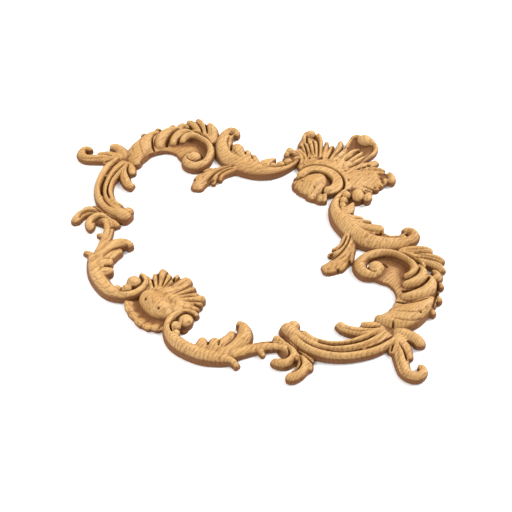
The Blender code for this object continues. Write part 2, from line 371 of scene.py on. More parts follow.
@dataclass(frozen=True)
class Wire:
    """A shader socket that takes part in Python arithmetic: each operation adds one Math node."""

    tree: bpy.types.NodeTree
    socket: bpy.types.NodeSocket

    def maths(self, operation: str, *others: "Wire | float", swapped: bool = False) -> "Wire":
        """Adds a Math node on this value and the others.

        Args:
            operation: The Math node's operation.
            others: What else it takes, in order.
            swapped: Whether this value comes after the other instead of before it.

        Returns:
            The node's result.
        """
        node = self.tree.nodes.new("ShaderNodeMath")
        node.operation = operation
        values = [*others, self] if swapped else [self, *others]
        for socket, value in zip(node.inputs, values):
            connect(self.tree, socket, value)
        return Wire(self.tree, node.outputs[0])

    def __add__(self, other: "Wire | float") -> "Wire":
        """Adds."""
        return self.maths("ADD", other)

    def __sub__(self, other: "Wire | float") -> "Wire":
        """Subtracts the other."""
        return self.maths("SUBTRACT", other)

    def __mul__(self, other: "Wire | float") -> "Wire":
        """Multiplies."""
        return self.maths("MULTIPLY", other)

    def __truediv__(self, other: "Wire | float") -> "Wire":
        """Divides by the other."""
        return self.maths("DIVIDE", other)

    def __pow__(self, other: "Wire | float") -> "Wire":
        """Raises to a power."""
        return self.maths("POWER", other)

    def __rsub__(self, other: float) -> "Wire":
        """Subtracts this from a number."""
        return self.maths("SUBTRACT", other, swapped=True)

    def __radd__(self, other: float) -> "Wire":
        """Adds this to a number."""
        return self.maths("ADD", other)

    def __rmul__(self, other: float) -> "Wire":
        """Multiplies a number by this."""
        return self.maths("MULTIPLY", other)

    def clamped(self) -> "Wire":
        """Keeps the value from 0 to 1."""
        return self.maths("MAXIMUM", 0.0).maths("MINIMUM", 1.0)

    def between(self, low: float, high: float) -> "Wire":
        """Runs from 0 at the low value to 1 at the high one, and holds there."""
        return ((self - low) / (high - low)).clamped()


def connect(tree: bpy.types.NodeTree, socket: bpy.types.NodeSocket, value: object) -> None:
    """Links a wire to a socket, or sets the socket's own value.

    Args:
        tree: The nodes that the socket belongs to.
        socket: The input to feed.
        value: A wire, another node's socket, or a plain value.
    """
    if isinstance(value, Wire):
        tree.links.new(value.socket, socket)
    elif isinstance(value, bpy.types.NodeSocket):
        tree.links.new(value, socket)
    else:
        socket.default_value = value


@dataclass
class Board:
    """A material's node tree, with one way to add each kind of node."""

    material: bpy.types.Material
    tree: bpy.types.NodeTree = field(init=False)

    def __post_init__(self) -> None:
        """Opens the material's nodes."""
        self.material.use_nodes = True
        self.tree = self.material.node_tree

    def node(self, kind: str, settings: dict[str, object] | None = None, **sockets: object) -> bpy.types.Node:
        """Adds a node.

        Args:
            kind: The node's type name, without the ShaderNode in front.
            settings: The node's own properties, set before its sockets.
            sockets: A value or a link for each input, under its name with _ for each space.

        Returns:
            The new node.
        """
        node = self.tree.nodes.new("ShaderNode" + kind)
        for name, value in (settings or {}).items():
            setattr(node, name, value)
        for name, value in sockets.items():
            connect(self.tree, node.inputs[name.replace("_", " ")], value)
        return node

    def wire(self, node: bpy.types.Node, output: str | int = 0) -> Wire:
        """Takes a node's output into Python arithmetic."""
        return Wire(self.tree, node.outputs[output])

    def blend(self, share: object, first: object, second: object) -> bpy.types.NodeSocket:
        """Mixes two colours.

        Args:
            share: How much of the second, from 0 to 1.
            first: The colour at 0.
            second: The colour at 1.

        Returns:
            The mixed colour.
        """
        node = self.node("Mix", {"data_type": "RGBA", "blend_type": "MIX", "clamp_factor": True})
        for name, value in (("Factor", share), ("A", first), ("B", second)):
            sockets = [s for s in node.inputs if s.name == name and s.enabled]
            connect(self.tree, sockets[0], value)
        return next(s for s in node.outputs if s.enabled)


def linear(red: int, green: int, blue: int) -> tuple[float, float, float, float]:
    """Turns a display colour into the scene's linear colour.

    Args:
        red: From 0 to 255, like the others.
        green: The green part.
        blue: The blue part.

    Returns:
        Linear red, green and blue from 0 to 1, and full alpha.
    """
    values = [c / 255 for c in (red, green, blue)]
    made = [v / 12.92 if v <= 0.04045 else ((v + 0.055) / 1.055) ** 2.4 for v in values]
    return (*made, 1.0)


@dataclass(frozen=True)
class Grain:
    """One noise of the wood, drawn out along the grain.

    Attributes:
        scales: Lumps to a millimetre across the ornament, up it and through its depth.
        detail: How many finer layers it has.
    """

    scales: Triple
    detail: float

    ROUGHNESS = 0.55

    def wire(self, board: Board, place: tuple[Wire, Wire, Wire]) -> Wire:
        """Adds the noise.

        Args:
            board: The material's nodes.
            place: The surface's x, y and z in millimetres.

        Returns:
            The noise, from 0 to 1.
        """
        parts = {axis: value * scale for axis, value, scale in zip("XYZ", place, self.scales)}
        vector = board.node("CombineXYZ", **parts).outputs[0]
        noise = board.node("TexNoise", Vector=vector, Scale=1.0, Detail=self.detail, Roughness=self.ROUGHNESS)
        return board.wire(noise, "Fac")


@dataclass(frozen=True)
class BareOak:
    """Freshly carved oak: straight grain up the ornament, pores, growth rings, painted shade in the cuts and
    near the back, and a painted highlight on raised edges.

    Attributes:
        pale: The light wood, and the painted highlight on raised edges, as a display colour of 0 to 255, like
            the other colours.
        middle: The wood's darker patches.
        deep: The early wood of each ring, the flecks, and the painted shade near the back.
        crevice_shade_and_patina: The painted shade in the deep cuts, mixed with the darker patina that
            gathers there.
        pore: The pores.
        ring_spacing: Millimetres from one ring to the next.
        pith: The x and z of the middle of the tree, in millimetres.
        bend: How far the wander, the ripple and the waver push the rings, in millimetres.
        early_end: Where in each ring the early wood has faded out.
        early_start: Where in each ring the next one's early wood sets in.
        early_least: What the rings keep of their strength where no streak lies.
        early_depth: How strongly the early wood shows.
        pore_depth: How strongly the pores show.
        pore_least: What the pores keep of their strength outside the early wood.
        fleck_dark: How strongly the dark flecks show.
        fleck_pale: How strongly the pale flecks show.
        fibre_depth: How strongly the fibre shows.
        crevice_shade_depth: How strongly the painted shade and the patina darken the cuts.
        crevice_shade_power: How late a deepening cut takes the painted shade and the patina.
        ground_shade_depth: How strongly painted shade darkens the wood near the back, where the ground shades
            it.
        raised_highlight_depth: How strongly a painted highlight lightens the raised edges.
        bump_pore: How far the pores sink, beside the other two.
        bump_fibre: How far the fibre stands up.
        bump_early: How far the early wood sinks.
        bump_strength: How strongly all three show in the surface.
        bump_height: How many millimetres they cover.
        roughness: The smooth wood's roughness.
        pore_roughness: What the pores add to it.
        cut_roughness: What the cuts add to it.
        specular: The wood's specular level.
    """

    pale: tuple[int, int, int] = (198, 159, 103)
    middle: tuple[int, int, int] = (170, 124, 64)
    deep: tuple[int, int, int] = (116, 70, 24)
    # Painted shade in the deep cuts, mixed with some real patina.
    crevice_shade_and_patina: tuple[int, int, int] = (96, 50, 10)
    pore: tuple[int, int, int] = (96, 56, 20)
    ring_spacing: float = 3.1
    pith: tuple[float, float] = (-38.0, -62.0)
    bend: Triple = (16.0, 5.0, 1.6)
    early_end: float = 0.42
    early_start: float = 0.82
    early_least: float = 0.4
    early_depth: float = 0.95
    pore_depth: float = 0.85
    pore_least: float = 0.3
    fleck_dark: float = 0.5
    fleck_pale: float = 0.45
    fibre_depth: float = 1.2
    # How strongly the painted shade and patina darken the cuts, and how late a deepening cut takes them.
    crevice_shade_depth: float = 0.85
    crevice_shade_power: float = 1.3
    # Painted shade near the back, where the ground shades the carving.
    ground_shade_depth: float = 0.3
    # Painted highlight on the raised edges.
    raised_highlight_depth: float = 0.3
    bump_pore: float = 0.6
    bump_fibre: float = 0.35
    bump_early: float = 0.6
    bump_strength: float = 0.6
    bump_height: float = 0.4
    roughness: float = 0.55
    pore_roughness: float = 0.15
    cut_roughness: float = 0.12
    specular: float = 0.35

    WANDER = Grain((0.03, 0.012, 0.05), 2.0)
    RIPPLE = Grain((0.22, 0.05, 0.22), 2.0)
    WAVER = Grain((0.5, 0.1, 0.5), 3.0)
    FIBRE = Grain((2.6, 0.16, 2.6), 3.0)
    STREAK = Grain((0.6, 0.1, 0.6), 3.0)
    FLECK = Grain((1.1, 0.2, 1.1), 2.0)
    PORE = Grain((2.8, 0.36, 2.8), 1.0)
    CLOUD = Grain((0.035, 0.02, 0.05), 3.0)
    # The stretch of each value over which what it steers comes in.
    STREAK_RANGE = (0.4, 0.6)
    PORE_RANGE = (0.54, 0.64)
    CLOUD_RANGE = (0.3, 0.7)
    DARK_FLECK_RANGE = (0.53, 0.7)
    PALE_FLECK_RANGE = (0.47, 0.3)
    CUT_RANGE = (0.06, 0.9)
    # The painted highlight on raised edges comes in over this stretch.
    RAISED_HIGHLIGHT_RANGE = (0.05, 0.8)

    def early_wood(self, board: Board, place: tuple[Wire, Wire, Wire]) -> Wire:
        """Draws the growth rings round the pith.

        Args:
            board: The material's nodes.
            place: The surface's x, y and z in millimetres.

        Returns:
            How much of the wood at each place is early wood, from 0 to 1.
        """
        x, _, z = place
        from_pith = ((x - self.pith[0]) ** 2.0 + (z - self.pith[1]) ** 2.0) ** 0.5
        for noise, reach in zip((self.WANDER, self.RIPPLE, self.WAVER), self.bend):
            from_pith = from_pith + noise.wire(board, place) * reach
        phase = (from_pith / self.ring_spacing).maths("FRACT")
        fading = (1.0 - phase.between(0.0, self.early_end)) ** 1.5
        return fading + phase.between(self.early_start, 1.0) ** 2.0

    def material(self) -> bpy.types.Material:
        """Builds the oak's nodes.

        Returns:
            The material, which reads Object coordinates and the carving's own hollow and low attributes, and
            paints shade and a highlight from them.
        """
        board = Board(bpy.data.materials.new("bare_oak"))
        shader = board.tree.nodes["Principled BSDF"]
        spot = board.node("TexCoord").outputs["Object"]
        grain = board.node("VectorMath", {"operation": "SCALE"}, Vector=spot, Scale=1 / MM).outputs[0]
        split = board.node("SeparateXYZ", Vector=grain)
        place = tuple(board.wire(split, axis) for axis in "XYZ")

        early = self.early_wood(board, place)
        fibre = self.FIBRE.wire(board, place)
        streak = self.STREAK.wire(board, place).between(*self.STREAK_RANGE)
        fleck = self.FLECK.wire(board, place)
        pores = self.PORE.wire(board, place).between(*self.PORE_RANGE)
        pores = pores * (self.pore_least + (1.0 - self.pore_least) * early)
        cloud = self.CLOUD.wire(board, place).between(*self.CLOUD_RANGE)

        # The hollow and low attributes steer painted shade in the cuts and near the back, and a painted
        # highlight on raised points.
        hollow = board.wire(board.node("Attribute", {"attribute_name": "hollow"}), "Fac")
        low = board.wire(board.node("Attribute", {"attribute_name": "low"}), "Fac")
        cut = hollow.between(*self.CUT_RANGE)
        # Painted highlight where a point stands above what is round it.
        raised_highlight = (0.0 - hollow).between(*self.RAISED_HIGHLIGHT_RANGE)
        rings = early * (self.early_least + (1.0 - self.early_least) * streak) * self.early_depth

        colour = board.blend(cloud, linear(*self.middle), linear(*self.pale))
        for share, shade in (
            (rings, self.deep),
            (fleck.between(*self.DARK_FLECK_RANGE) * self.fleck_dark, self.deep),
            (fleck.between(*self.PALE_FLECK_RANGE) * self.fleck_pale, self.pale),
            ((fibre - 0.5).clamped() * self.fibre_depth, self.pale),
            (pores * self.pore_depth, self.pore),
            # Painted shade in the cuts, mixed with some patina.
            (cut**self.crevice_shade_power * self.crevice_shade_depth, self.crevice_shade_and_patina),
            # Painted shade near the back, in the deep colour.
            (low * self.ground_shade_depth, self.deep),
            # Painted highlight on raised edges, in the pale colour.
            (raised_highlight * self.raised_highlight_depth, self.pale),
        ):
            colour = board.blend(share, colour, linear(*shade))

        relief = (0.0 - pores * self.bump_pore) + fibre * self.bump_fibre - early * self.bump_early
        height = self.bump_height * MM
        bump = board.node("Bump", Height=relief.socket, Strength=self.bump_strength, Distance=height)
        rough = self.roughness + pores * self.pore_roughness + cut * self.cut_roughness
        board.tree.links.new(colour, shader.inputs["Base Color"])
        board.tree.links.new(bump.outputs[0], shader.inputs["Normal"])
        board.tree.links.new(rough.socket, shader.inputs["Roughness"])
        shader.inputs["Specular IOR Level"].default_value = self.specular
        shader.inputs["Metallic"].default_value = 0.0
        return board.material


@dataclass
class Carving:
    """A member of the ornament: its strokes joined into one closed form, gouged, smoothed and dressed.

    Attributes:
        name: What the member is called.
        voxel: How fine the joined form is, in drawing millimetres.
        kept: The share of triangles that the finished form keeps.
    """

    name: str = "carving"
    voxel: float = 0.6
    kept: float = 0.6

    SMOOTHING = 2
    SMOOTH_FACTOR = 0.5
    SHARP_ANGLE = math.radians(55.0)
    # Below this height a point belongs to the flat back.
    BACK_HEIGHT = 0.45
    # The grid that cuts are judged on: its pitch, and how many cells each average reaches.
    GRID = 0.8
    NARROW = 2
    WIDE = 7
    WIDEST = 17
    NARROW_SHARE = 0.5
    BASIN_SHARE = 0.45
    # How deep a full cut lies below what is round it, and the height where the painted shade near the back
    # runs out.
    HOLLOW_FULL = 2.2
    GROUND_SHADE_HEIGHT = 5.0

    def strokes(self) -> list[Stroke | Bead]:
        """Lists the forms that make up the member."""
        raise NotImplementedError

    def gouges(self) -> list[Gouge]:
        """Lists the grooves and holes sunk into the joined form."""
        return []

    def joined(self) -> bpy.types.Mesh:
        """Joins the strokes into one closed mesh with a fine even skin.

        Returns:
            The mesh, in drawing millimetres.
        """
        bm = bmesh.new()
        for stroke in self.strokes():
            shape = stroke.draw()
            bm.from_mesh(shape)
            bpy.data.meshes.remove(shape)
        bmesh.ops.recalc_face_normals(bm, faces=bm.faces)
        mesh = mesh_of(bm, self.name)
        return with_modifiers(mesh, [("REMESH", {"mode": "VOXEL", "voxel_size": self.voxel})])

    def carved(self) -> bpy.types.Mesh:
        """Gouges, smooths and thins the joined form, and brings it to its place in the row's frame.

        Returns:
            The finished mesh, in metres.
        """
        mesh = self.joined()
        points = vertex_places(mesh)
        for gouge in self.gouges():
            gouge.sink(points)
        place_vertices(mesh, points)
        mesh = with_modifiers(
            mesh,
            [
                ("SMOOTH", {"factor": self.SMOOTH_FACTOR, "iterations": self.SMOOTHING}),
                ("DECIMATE", {"ratio": self.kept}),
            ],
        )
        points = vertex_places(mesh)
        points[points[:, 2] < self.BACK_HEIGHT, 2] = 0.0
        self.mark_hollows(mesh, points)
        points[:, 1] -= BACK_ORIGIN_Y
        place_vertices(mesh, points * MM)
        return mesh

    def mark_hollows(self, mesh: bpy.types.Mesh, points: np.ndarray) -> None:
        """Writes how deep each point lies in a cut, and how near the back, as attributes of the mesh, which
        the material turns into painted shade and a painted highlight.

        Args:
            mesh: The mesh that takes them.
            points: Its vertices in drawing millimetres, as rows of x, y and height.
        """
        corner = points[:, :2].min(axis=0) - self.GRID * self.WIDEST
        cells = ((points[:, :2] - corner) / self.GRID).astype(int)
        shape = tuple(cells.max(axis=0) + self.WIDEST + 2)
        top = np.zeros(shape)
        np.maximum.at(top, (cells[:, 0], cells[:, 1]), points[:, 2])
        held = (top > 0).astype(float)
        narrow, wide = blurred(top, held, self.NARROW), blurred(top, held, self.WIDE)
        around = self.NARROW_SHARE * narrow + (1.0 - self.NARROW_SHARE) * wide
        # Painted shade in the cuts: the deeper a point lies below what is round it, the darker the material
        # paints it.
        hollow = around[cells[:, 0], cells[:, 1]] - points[:, 2]
        basin = blurred(top, held, self.WIDEST)[cells[:, 0], cells[:, 1]] - points[:, 2]
        hollow = (hollow + self.BASIN_SHARE * np.maximum(basin, 0.0)) / self.HOLLOW_FULL
        # Painted shade near the back: the lower a point, the darker the material paints it.
        low = 1.0 - points[:, 2] / self.GROUND_SHADE_HEIGHT
        for name, values in (("hollow", np.clip(hollow, -1.0, 1.0)), ("low", np.clip(low, 0.0, 1.0))):
            attribute = mesh.attributes.new(name, "FLOAT", "POINT")
            attribute.data.foreach_set("value", values.astype(np.float32))

    def build(self, oak: bpy.types.Material, sides: Sequence[Side]) -> None:
        """Makes one object for each side, riding on the applique's body in the solid's place.

        Args:
            oak: The finish they wear.
            sides: The halves of the ornament to put it on.
        """
        mesh = self.carved()
        for side in sides:
            name = self.name if len(sides) == 1 else f"{self.name}_{side.name.lower()}"
            own = mesh.copy()
            own.name = name
            if side is Side.LEFT:
                bm = bmesh.new()
                bm.from_mesh(own)
                bmesh.ops.scale(bm, vec=(-1.0, 1.0, 1.0), verts=bm.verts)
                bmesh.ops.reverse_faces(bm, faces=bm.faces)
                bm.to_mesh(own)
                bm.free()
            own.shade_smooth()
            own.set_sharp_from_angle(angle=self.SHARP_ANGLE)
            own.materials.clear()
            own.materials.append(oak)
            piece = bpy.data.objects.new(name, own)
            bpy.context.scene.collection.objects.link(piece)
            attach(piece, "root")
            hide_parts("applique")
            LOG.info("%s: %d triangles", name, sum(len(p.vertices) - 2 for p in own.polygons))


def spread(grid: np.ndarray, reach: int) -> np.ndarray:
    """Averages a grid over a square of the reach, along each axis twice.

    Args:
        grid: The values.
        reach: How many cells to each side count.

    Returns:
        The averages, on the same cells.
    """
    width = 2 * reach + 1
    for axis in (0, 1, 0, 1):
        edges = [(reach, reach) if a == axis else (0, 0) for a in (0, 1)]
        total = np.cumsum(np.insert(np.pad(grid, edges), 0, 0, axis=axis), axis=axis)
        ahead = np.take(total, range(width, total.shape[axis]), axis=axis)
        behind = np.take(total, range(0, total.shape[axis] - width), axis=axis)
        grid = (ahead - behind) / width
    return grid


def blurred(values: np.ndarray, held: np.ndarray, reach: int) -> np.ndarray:
    """Averages only the held cells of a grid over a square of the reach."""
    return spread(values * held, reach) / np.maximum(spread(held, reach), LEAST_HELD)


def with_modifiers(
    mesh: bpy.types.Mesh, modifiers: Sequence[tuple[str, dict[str, object]]]
) -> bpy.types.Mesh:
    """Runs modifiers on a mesh.

    Args:
        mesh: The mesh, which is used up.
        modifiers: Each modifier's type with its settings, in order.

    Returns:
        The mesh that they leave.
    """
    holder = bpy.data.objects.new("holder", mesh)
    bpy.context.scene.collection.objects.link(holder)
    for kind, settings in modifiers:
        modifier = holder.modifiers.new(kind.lower(), kind)
        for name, value in settings.items():
            setattr(modifier, name, value)
    graph = bpy.context.evaluated_depsgraph_get()
    made = bpy.data.meshes.new_from_object(holder.evaluated_get(graph))
    bpy.data.objects.remove(holder)
    bpy.data.meshes.remove(mesh)
    return made


def mirrored(strokes: Iterable[Stroke | Bead]) -> list[Stroke | Bead]:
    """Makes the other side's twins of some forms, reflected in the centre line.

    Args:
        strokes: The forms.

    Returns:
        Their twins, in the same order.
    """
    twins: list[Stroke | Bead] = []
    for stroke in strokes:
        if isinstance(stroke, Bead):
            twins.append(
                Bead(-stroke.x, stroke.y, stroke.radius, stroke.height, stroke.stretch, 180.0 - stroke.turn)
            )
            continue
        stations = tuple((-x, y, half, height) for x, y, half, height in stroke.stations)
        scoops = tuple(mirrored_gouges(stroke.scoops))
        twins.append(replace(stroke, stations=stations, lean=-stroke.lean, scoops=scoops))
    return twins


def mirrored_gouges(gouges: Iterable[Gouge]) -> list[Gouge]:
    """Makes the other side's twins of some gouges, reflected in the centre line.

    Args:
        gouges: The gouges.

    Returns:
        Their twins, in the same order.
    """
    return [
        Gouge(tuple((-x, y) for x, y in gouge.path), gouge.half, gouge.depth, gouge.taper) for gouge in gouges
    ]


def pin_holes(places: Iterable[Point], half: float, depth: float) -> list[Gouge]:
    """Makes a round hole at each place, of half its width and its depth."""
    return [Gouge((place,), half, depth) for place in places]


@dataclass
class CrestShell(Carving):
    """The shell at the top: a hooded lobe between two fans, over a dome that a flat scroll rings.

    Attributes:
        ring_x: How far across the ornament the middle of the flat scroll lies.
        ring_y: How far up the ornament it lies.
        ring_turns: Along the flat scroll, degrees from +X, distance from its middle and half width.
        bulb_radius: The hood's bulb.
        bulb_height: The height of the bulb's top.
        hole_half: Half a pin-hole's width.
        hole_depth: How deep the pin-holes are.
    """

    name: str = "crest_shell"
    ring_x: float = 2.5
    ring_y: float = 137.5
    ring_turns: tuple[Triple, ...] = (
        (-26, 24.5, 6.6), (0, 25.8, 7), (25, 25.6, 6.8), (50, 24, 6.2), (75, 22.2, 5.8), (100, 21.2, 5.6),
        (130, 21, 5.6), (160, 21.2, 5.6), (190, 21.6, 5.6), (206, 22, 5.6),
    )
    bulb_radius: float = 9.8
    bulb_height: float = 15.5
    hole_half: float = 1.5
    hole_depth: float = 6.0

    def hood(self) -> list[Stroke | Bead]:
        """Lists the middle lobe, its scooped top, its rims, its finger slot's ridges and its bulb.

        Returns:
            The forms, in drawing millimetres.
        """
        scoop = Gouge(((3, 202), (3, 219), (3.5, 238)), 20, 6, 0.4)
        return [
            Stroke(((2, 160, 22, 9), (3, 185, 20, 10), (5, 205, 18.5, 10), (5, 216, 18.5, 9.5),
                (3.5, 229, 20.5, 9.5), (1.5, 238.5, 17, 10), (0, 245.5, 8, 9)), 0.12, 0.3, scoops=(scoop,)),
            Stroke(((-11, 213, 2.4, 8), (-14.5, 226, 2.6, 9), (-15.5, 235.5, 3.4, 11), (-8, 241.5, 4.6, 12))),
            Stroke(((19, 196, 2.6, 8), (22.5, 214, 2.4, 9.5), (23.4, 227, 2.6, 10.5),
                (19, 237.5, 3.4, 11.5), (8, 243, 4.4, 12))),
            Stroke(((3.5, 178, 2, 10), (1.8, 198, 2.2, 11), (0.8, 211, 2.4, 9.5), (2.6, 224, 2, 5))),
            Stroke(((9.5, 180, 2, 10), (11.4, 200, 2.4, 11), (11.4, 213, 2.6, 9.2), (8.6, 222, 2.2, 5.4))),
            Stroke(((-6, 176, 3.4, 9.5), (-6.5, 196, 3.6, 10.5), (-8.5, 206, 3.4, 8.5), (-10, 213, 2.4, 6))),
            Stroke(((15, 178, 3, 9.5), (17, 198, 3, 10), (17.5, 209, 2.8, 8.4), (17.5, 217, 2.2, 6))),
            Bead(0.5, 239, self.bulb_radius, self.bulb_height, 1.15),
            Bead(8, 241.2, 6, 13, 1.3, -20),
        ]

    def right_fan(self) -> list[Stroke | Bead]:
        """Lists the right fan: a smooth lobe with soft edges that ends in a scoop and a curled rim.

        Returns:
            The forms, in drawing millimetres.
        """
        return [
            Stroke(((16, 165, 12, 9), (24, 190, 10, 8), (33, 210, 6, 7), (35.5, 218.5, 4.6, 7)), 0.3, 0.3),
            Stroke(((24, 155, 18, 9), (40, 176, 19, 9.5), (53, 190, 18, 9.5), (65, 199, 11, 9)), 0.16, 0.4,
                flutes=5, flute_depth=0.5, scoops=(Gouge(((54, 202), (62, 194)), 9, 3.6, 0.1),)),
            Stroke(((32, 190, 4, 9), (41, 203, 4, 8.5), (49, 207.5, 3.6, 8.5), (54, 208, 3, 8))),
            Stroke(((59, 209, 3.6, 9.5), (66, 205.5, 5, 10.8), (70.5, 199.5, 5.6, 11),
                (70.5, 194, 4.8, 10)), 0.7),
            Stroke(((48, 178, 7, 9), (62, 183.5, 6, 8), (69, 184, 3.6, 7))),
            Stroke(((44, 168, 7, 8), (60, 173, 5, 7.5), (68.5, 177, 3.4, 6.5))),
            Stroke(((40, 160, 7, 8), (55, 164, 5, 8), (65.5, 167.5, 3.6, 7))),
        ]

    def left_fan(self) -> list[Stroke | Bead]:
        """Lists the left fan: two broad lobes, the crisp fingers on them and the bulb at their end.

        Returns:
            The forms, in drawing millimetres.
        """
        return [
            Stroke(((-12, 165, 12, 9), (-18, 190, 11, 7), (-24, 203, 7, 5)), 0.25, 0.3),
            Stroke(((-24, 155, 18, 9), (-38, 174, 17, 8), (-52, 188, 15, 7.5), (-60, 197, 8, 7)), 0.16, 0.35),
            *[
                Stroke(finger)
                for finger in (
                    ((-9, 176, 4, 9.5), (-14, 198, 4.6, 10), (-19.5, 212, 4.6, 9), (-24.5, 219.5, 3.8, 7.5)),
                    ((-16, 176, 3, 9), (-22, 193, 3.4, 8.5), (-27, 206, 3.4, 7)),
                    ((-18, 174, 3.4, 9.5), (-27, 190, 3.4, 9.5), (-33, 201, 3.2, 8), (-37.5, 206.5, 3, 7)),
                    ((-22, 172, 3, 9.5), (-34, 188, 3.4, 11), (-45, 202, 3.8, 11.5), (-54, 208, 4.4, 12)),
                    ((-25, 169, 2.8, 9.5), (-36, 182, 3.2, 10.5), (-46, 193, 3.4, 9.5), (-51, 197, 2.6, 7)),
                    ((-27, 167, 2.8, 9.5), (-40, 180, 3.2, 10), (-49, 188.5, 3, 8.5), (-54, 192, 2.4, 6.5)),
                    ((-29, 165, 2.8, 9.5), (-43, 176, 3.2, 9.5), (-54, 184, 3, 8.5), (-61, 189, 2.8, 7.5)),
                    ((-31, 162, 3, 9), (-45, 171, 3.2, 9), (-54, 177, 3, 8), (-60, 180, 3, 7)),
                    ((-33, 160, 3, 9), (-46, 166, 3, 8.5), (-55, 170.5, 3, 7.5)),
                    ((-57, 186, 3, 8), (-64.5, 193, 3.6, 9), (-67, 200, 4, 10), (-63, 206, 4.4, 11)),
                )
            ],
            Bead(-61.5, 203, 6.8, 12.6),
        ]

    def husk(self) -> list[Stroke | Bead]:
        """Lists the two long bulbs under the right fan, their rib and the floor they lie on.

        Returns:
            The forms, in drawing millimetres.
        """
        return [
            Stroke(((36, 158, 6, 7), (50, 161, 6, 8), (62, 161, 4.6, 8.5), (68, 162, 3.4, 8))),
            Stroke(((40, 155, 10, 4), (54, 148, 12, 4), (58, 136, 6, 4))),
            Bead(56.5, 148.5, 7.6, 13.8, 1.35, -58),
            Bead(68, 153, 6, 12, 1.3, -62),
        ]

    def berries(self) -> list[Stroke | Bead]:
        """Lists the row of berries behind the right branch's rim, and the floor they lie on.

        Returns:
            The forms, in drawing millimetres.
        """
        return [
            Stroke(((45, 144, 6, 6), (49, 130, 7, 6), (57, 116, 6, 7))),
            Bead(46.2, 138.5, 5.5, 13.4),
            Bead(50, 128, 5.3, 13.4),
            Bead(55, 119.8, 4.6, 13.2),
            Bead(60, 114, 3.4, 13.2),
        ]

    def left_husk(self) -> list[Stroke | Bead]:
        """Lists the ribs and the bulb that take the right bulbs' place on the left.

        Returns:
            The forms, in drawing millimetres.
        """
        return [
            Stroke(((-28, 148, 2.4, 10), (-33, 158, 2.6, 11), (-43, 164.5, 2.6, 10), (-56, 166, 2.6, 8))),
            Stroke(((-32, 146, 2.2, 10), (-37, 155, 2.4, 11), (-46, 160.5, 2.4, 10.5), (-56, 162, 2.4, 9))),
            Stroke(((-36, 156, 6, 7), (-48, 160, 6, 8), (-58, 159, 4, 8))),
            Stroke(((-40, 150, 9, 4), (-52, 150, 10, 4), (-52, 140, 6, 4))),
            Bead(-60, 158.5, 5.6, 11.5),
            Stroke(((-62, 158, 4, 10), (-60, 153, 4.4, 9.5), (-56, 149, 3, 7)), 0.9),
            Stroke(((-41, 156, 2.4, 10.5), (-44, 150, 2.6, 11), (-42.5, 144.5, 2, 9))),
        ]

    def ring(self, off: float = 0.0) -> list[tuple[float, float]]:
        """Traces the flat scroll's middle line round the dome.

        Args:
            off: How far outside that line to trace, as a share of the scroll's half width.

        Returns:
            Points from its right end, over the top, to its left end.
        """
        return [
            (
                self.ring_x + (radius + off * half) * math.cos(math.radians(turn)),
                self.ring_y + (radius + off * half) * math.sin(math.radians(turn)),
            )
            for turn, radius, half in self.ring_turns
        ]

    def middle(self) -> list[Stroke | Bead]:
        """Lists the apron round the scroll, the dome with its scalloped foot, and the scroll itself.

        Returns:
            The forms, in drawing millimetres.
        """
        forms: list[Stroke | Bead] = [
            Stroke(((-12, 132, 16, 5), (2.5, 140, 26, 5.5), (18, 134, 17, 5)), 0.2, 0.4),
            Stroke(((-30, 140, 12, 8), (-21, 160, 13, 9), (0, 170, 14, 9.5), (24, 163, 14, 9.5),
                (37, 146, 10, 9)), 0.3, 0.3),
            Stroke(((1.5, 151, 12, 11.5), (1.5, 138, 17.5, 14.5), (2, 124, 21, 14), (3.5, 112, 21, 10),
                (4, 106, 15, 6)), 0.5, 0.2),
            *[
                Stroke(scallop, 0.6)
                for scallop in (
                    ((-10, 126, 8, 9), (-15, 118, 7, 7), (-19.5, 114, 5, 5.5)),
                    ((-8, 120, 8, 8), (-9, 111, 7, 6.6), (-9.5, 107, 5.6, 5.5)),
                    ((0, 120, 9, 8), (0.5, 110, 8.4, 7), (1, 105.5, 6.6, 6)),
                    ((12, 122, 10, 9), (15, 111, 9, 8), (16.5, 105.5, 7, 6)),
                    ((20, 124, 8, 9), (26, 115, 7.6, 8), (29.5, 110, 5.4, 6.5)),
                )
            ],
            Stroke(((25, 124, 3, 10.5), (29.5, 118.5, 2.6, 10.5), (33.5, 113.5, 2.8, 9))),
            Stroke(((-18, 128, 6, 8), (-22, 121, 5, 6)), 0.6),
        ]
        heights = (11.6, 12, 12, 11.6, 11.2, 11, 11, 11, 11, 11)
        halves = (half for _, _, half in self.ring_turns)
        ring = tuple((*place, half, height) for place, half, height in zip(self.ring(), halves, heights))
        forms.append(Stroke(ring, 0.22, 0.0, hollow=0.7))
        forms.append(Bead(25.5, 131.5, 7.4, 13))
        forms.append(Bead(-18.5, 130.5, 6.2, 11.6))
        return forms

    def strokes(self) -> list[Stroke | Bead]:
        """Lists the forms that make up the shell.

        Returns:
            The forms, in drawing millimetres.
        """
        berries = self.berries()
        fans = self.hood() + self.right_fan() + self.left_fan()
        return fans + self.husk() + self.left_husk() + berries + mirrored(berries) + self.middle()

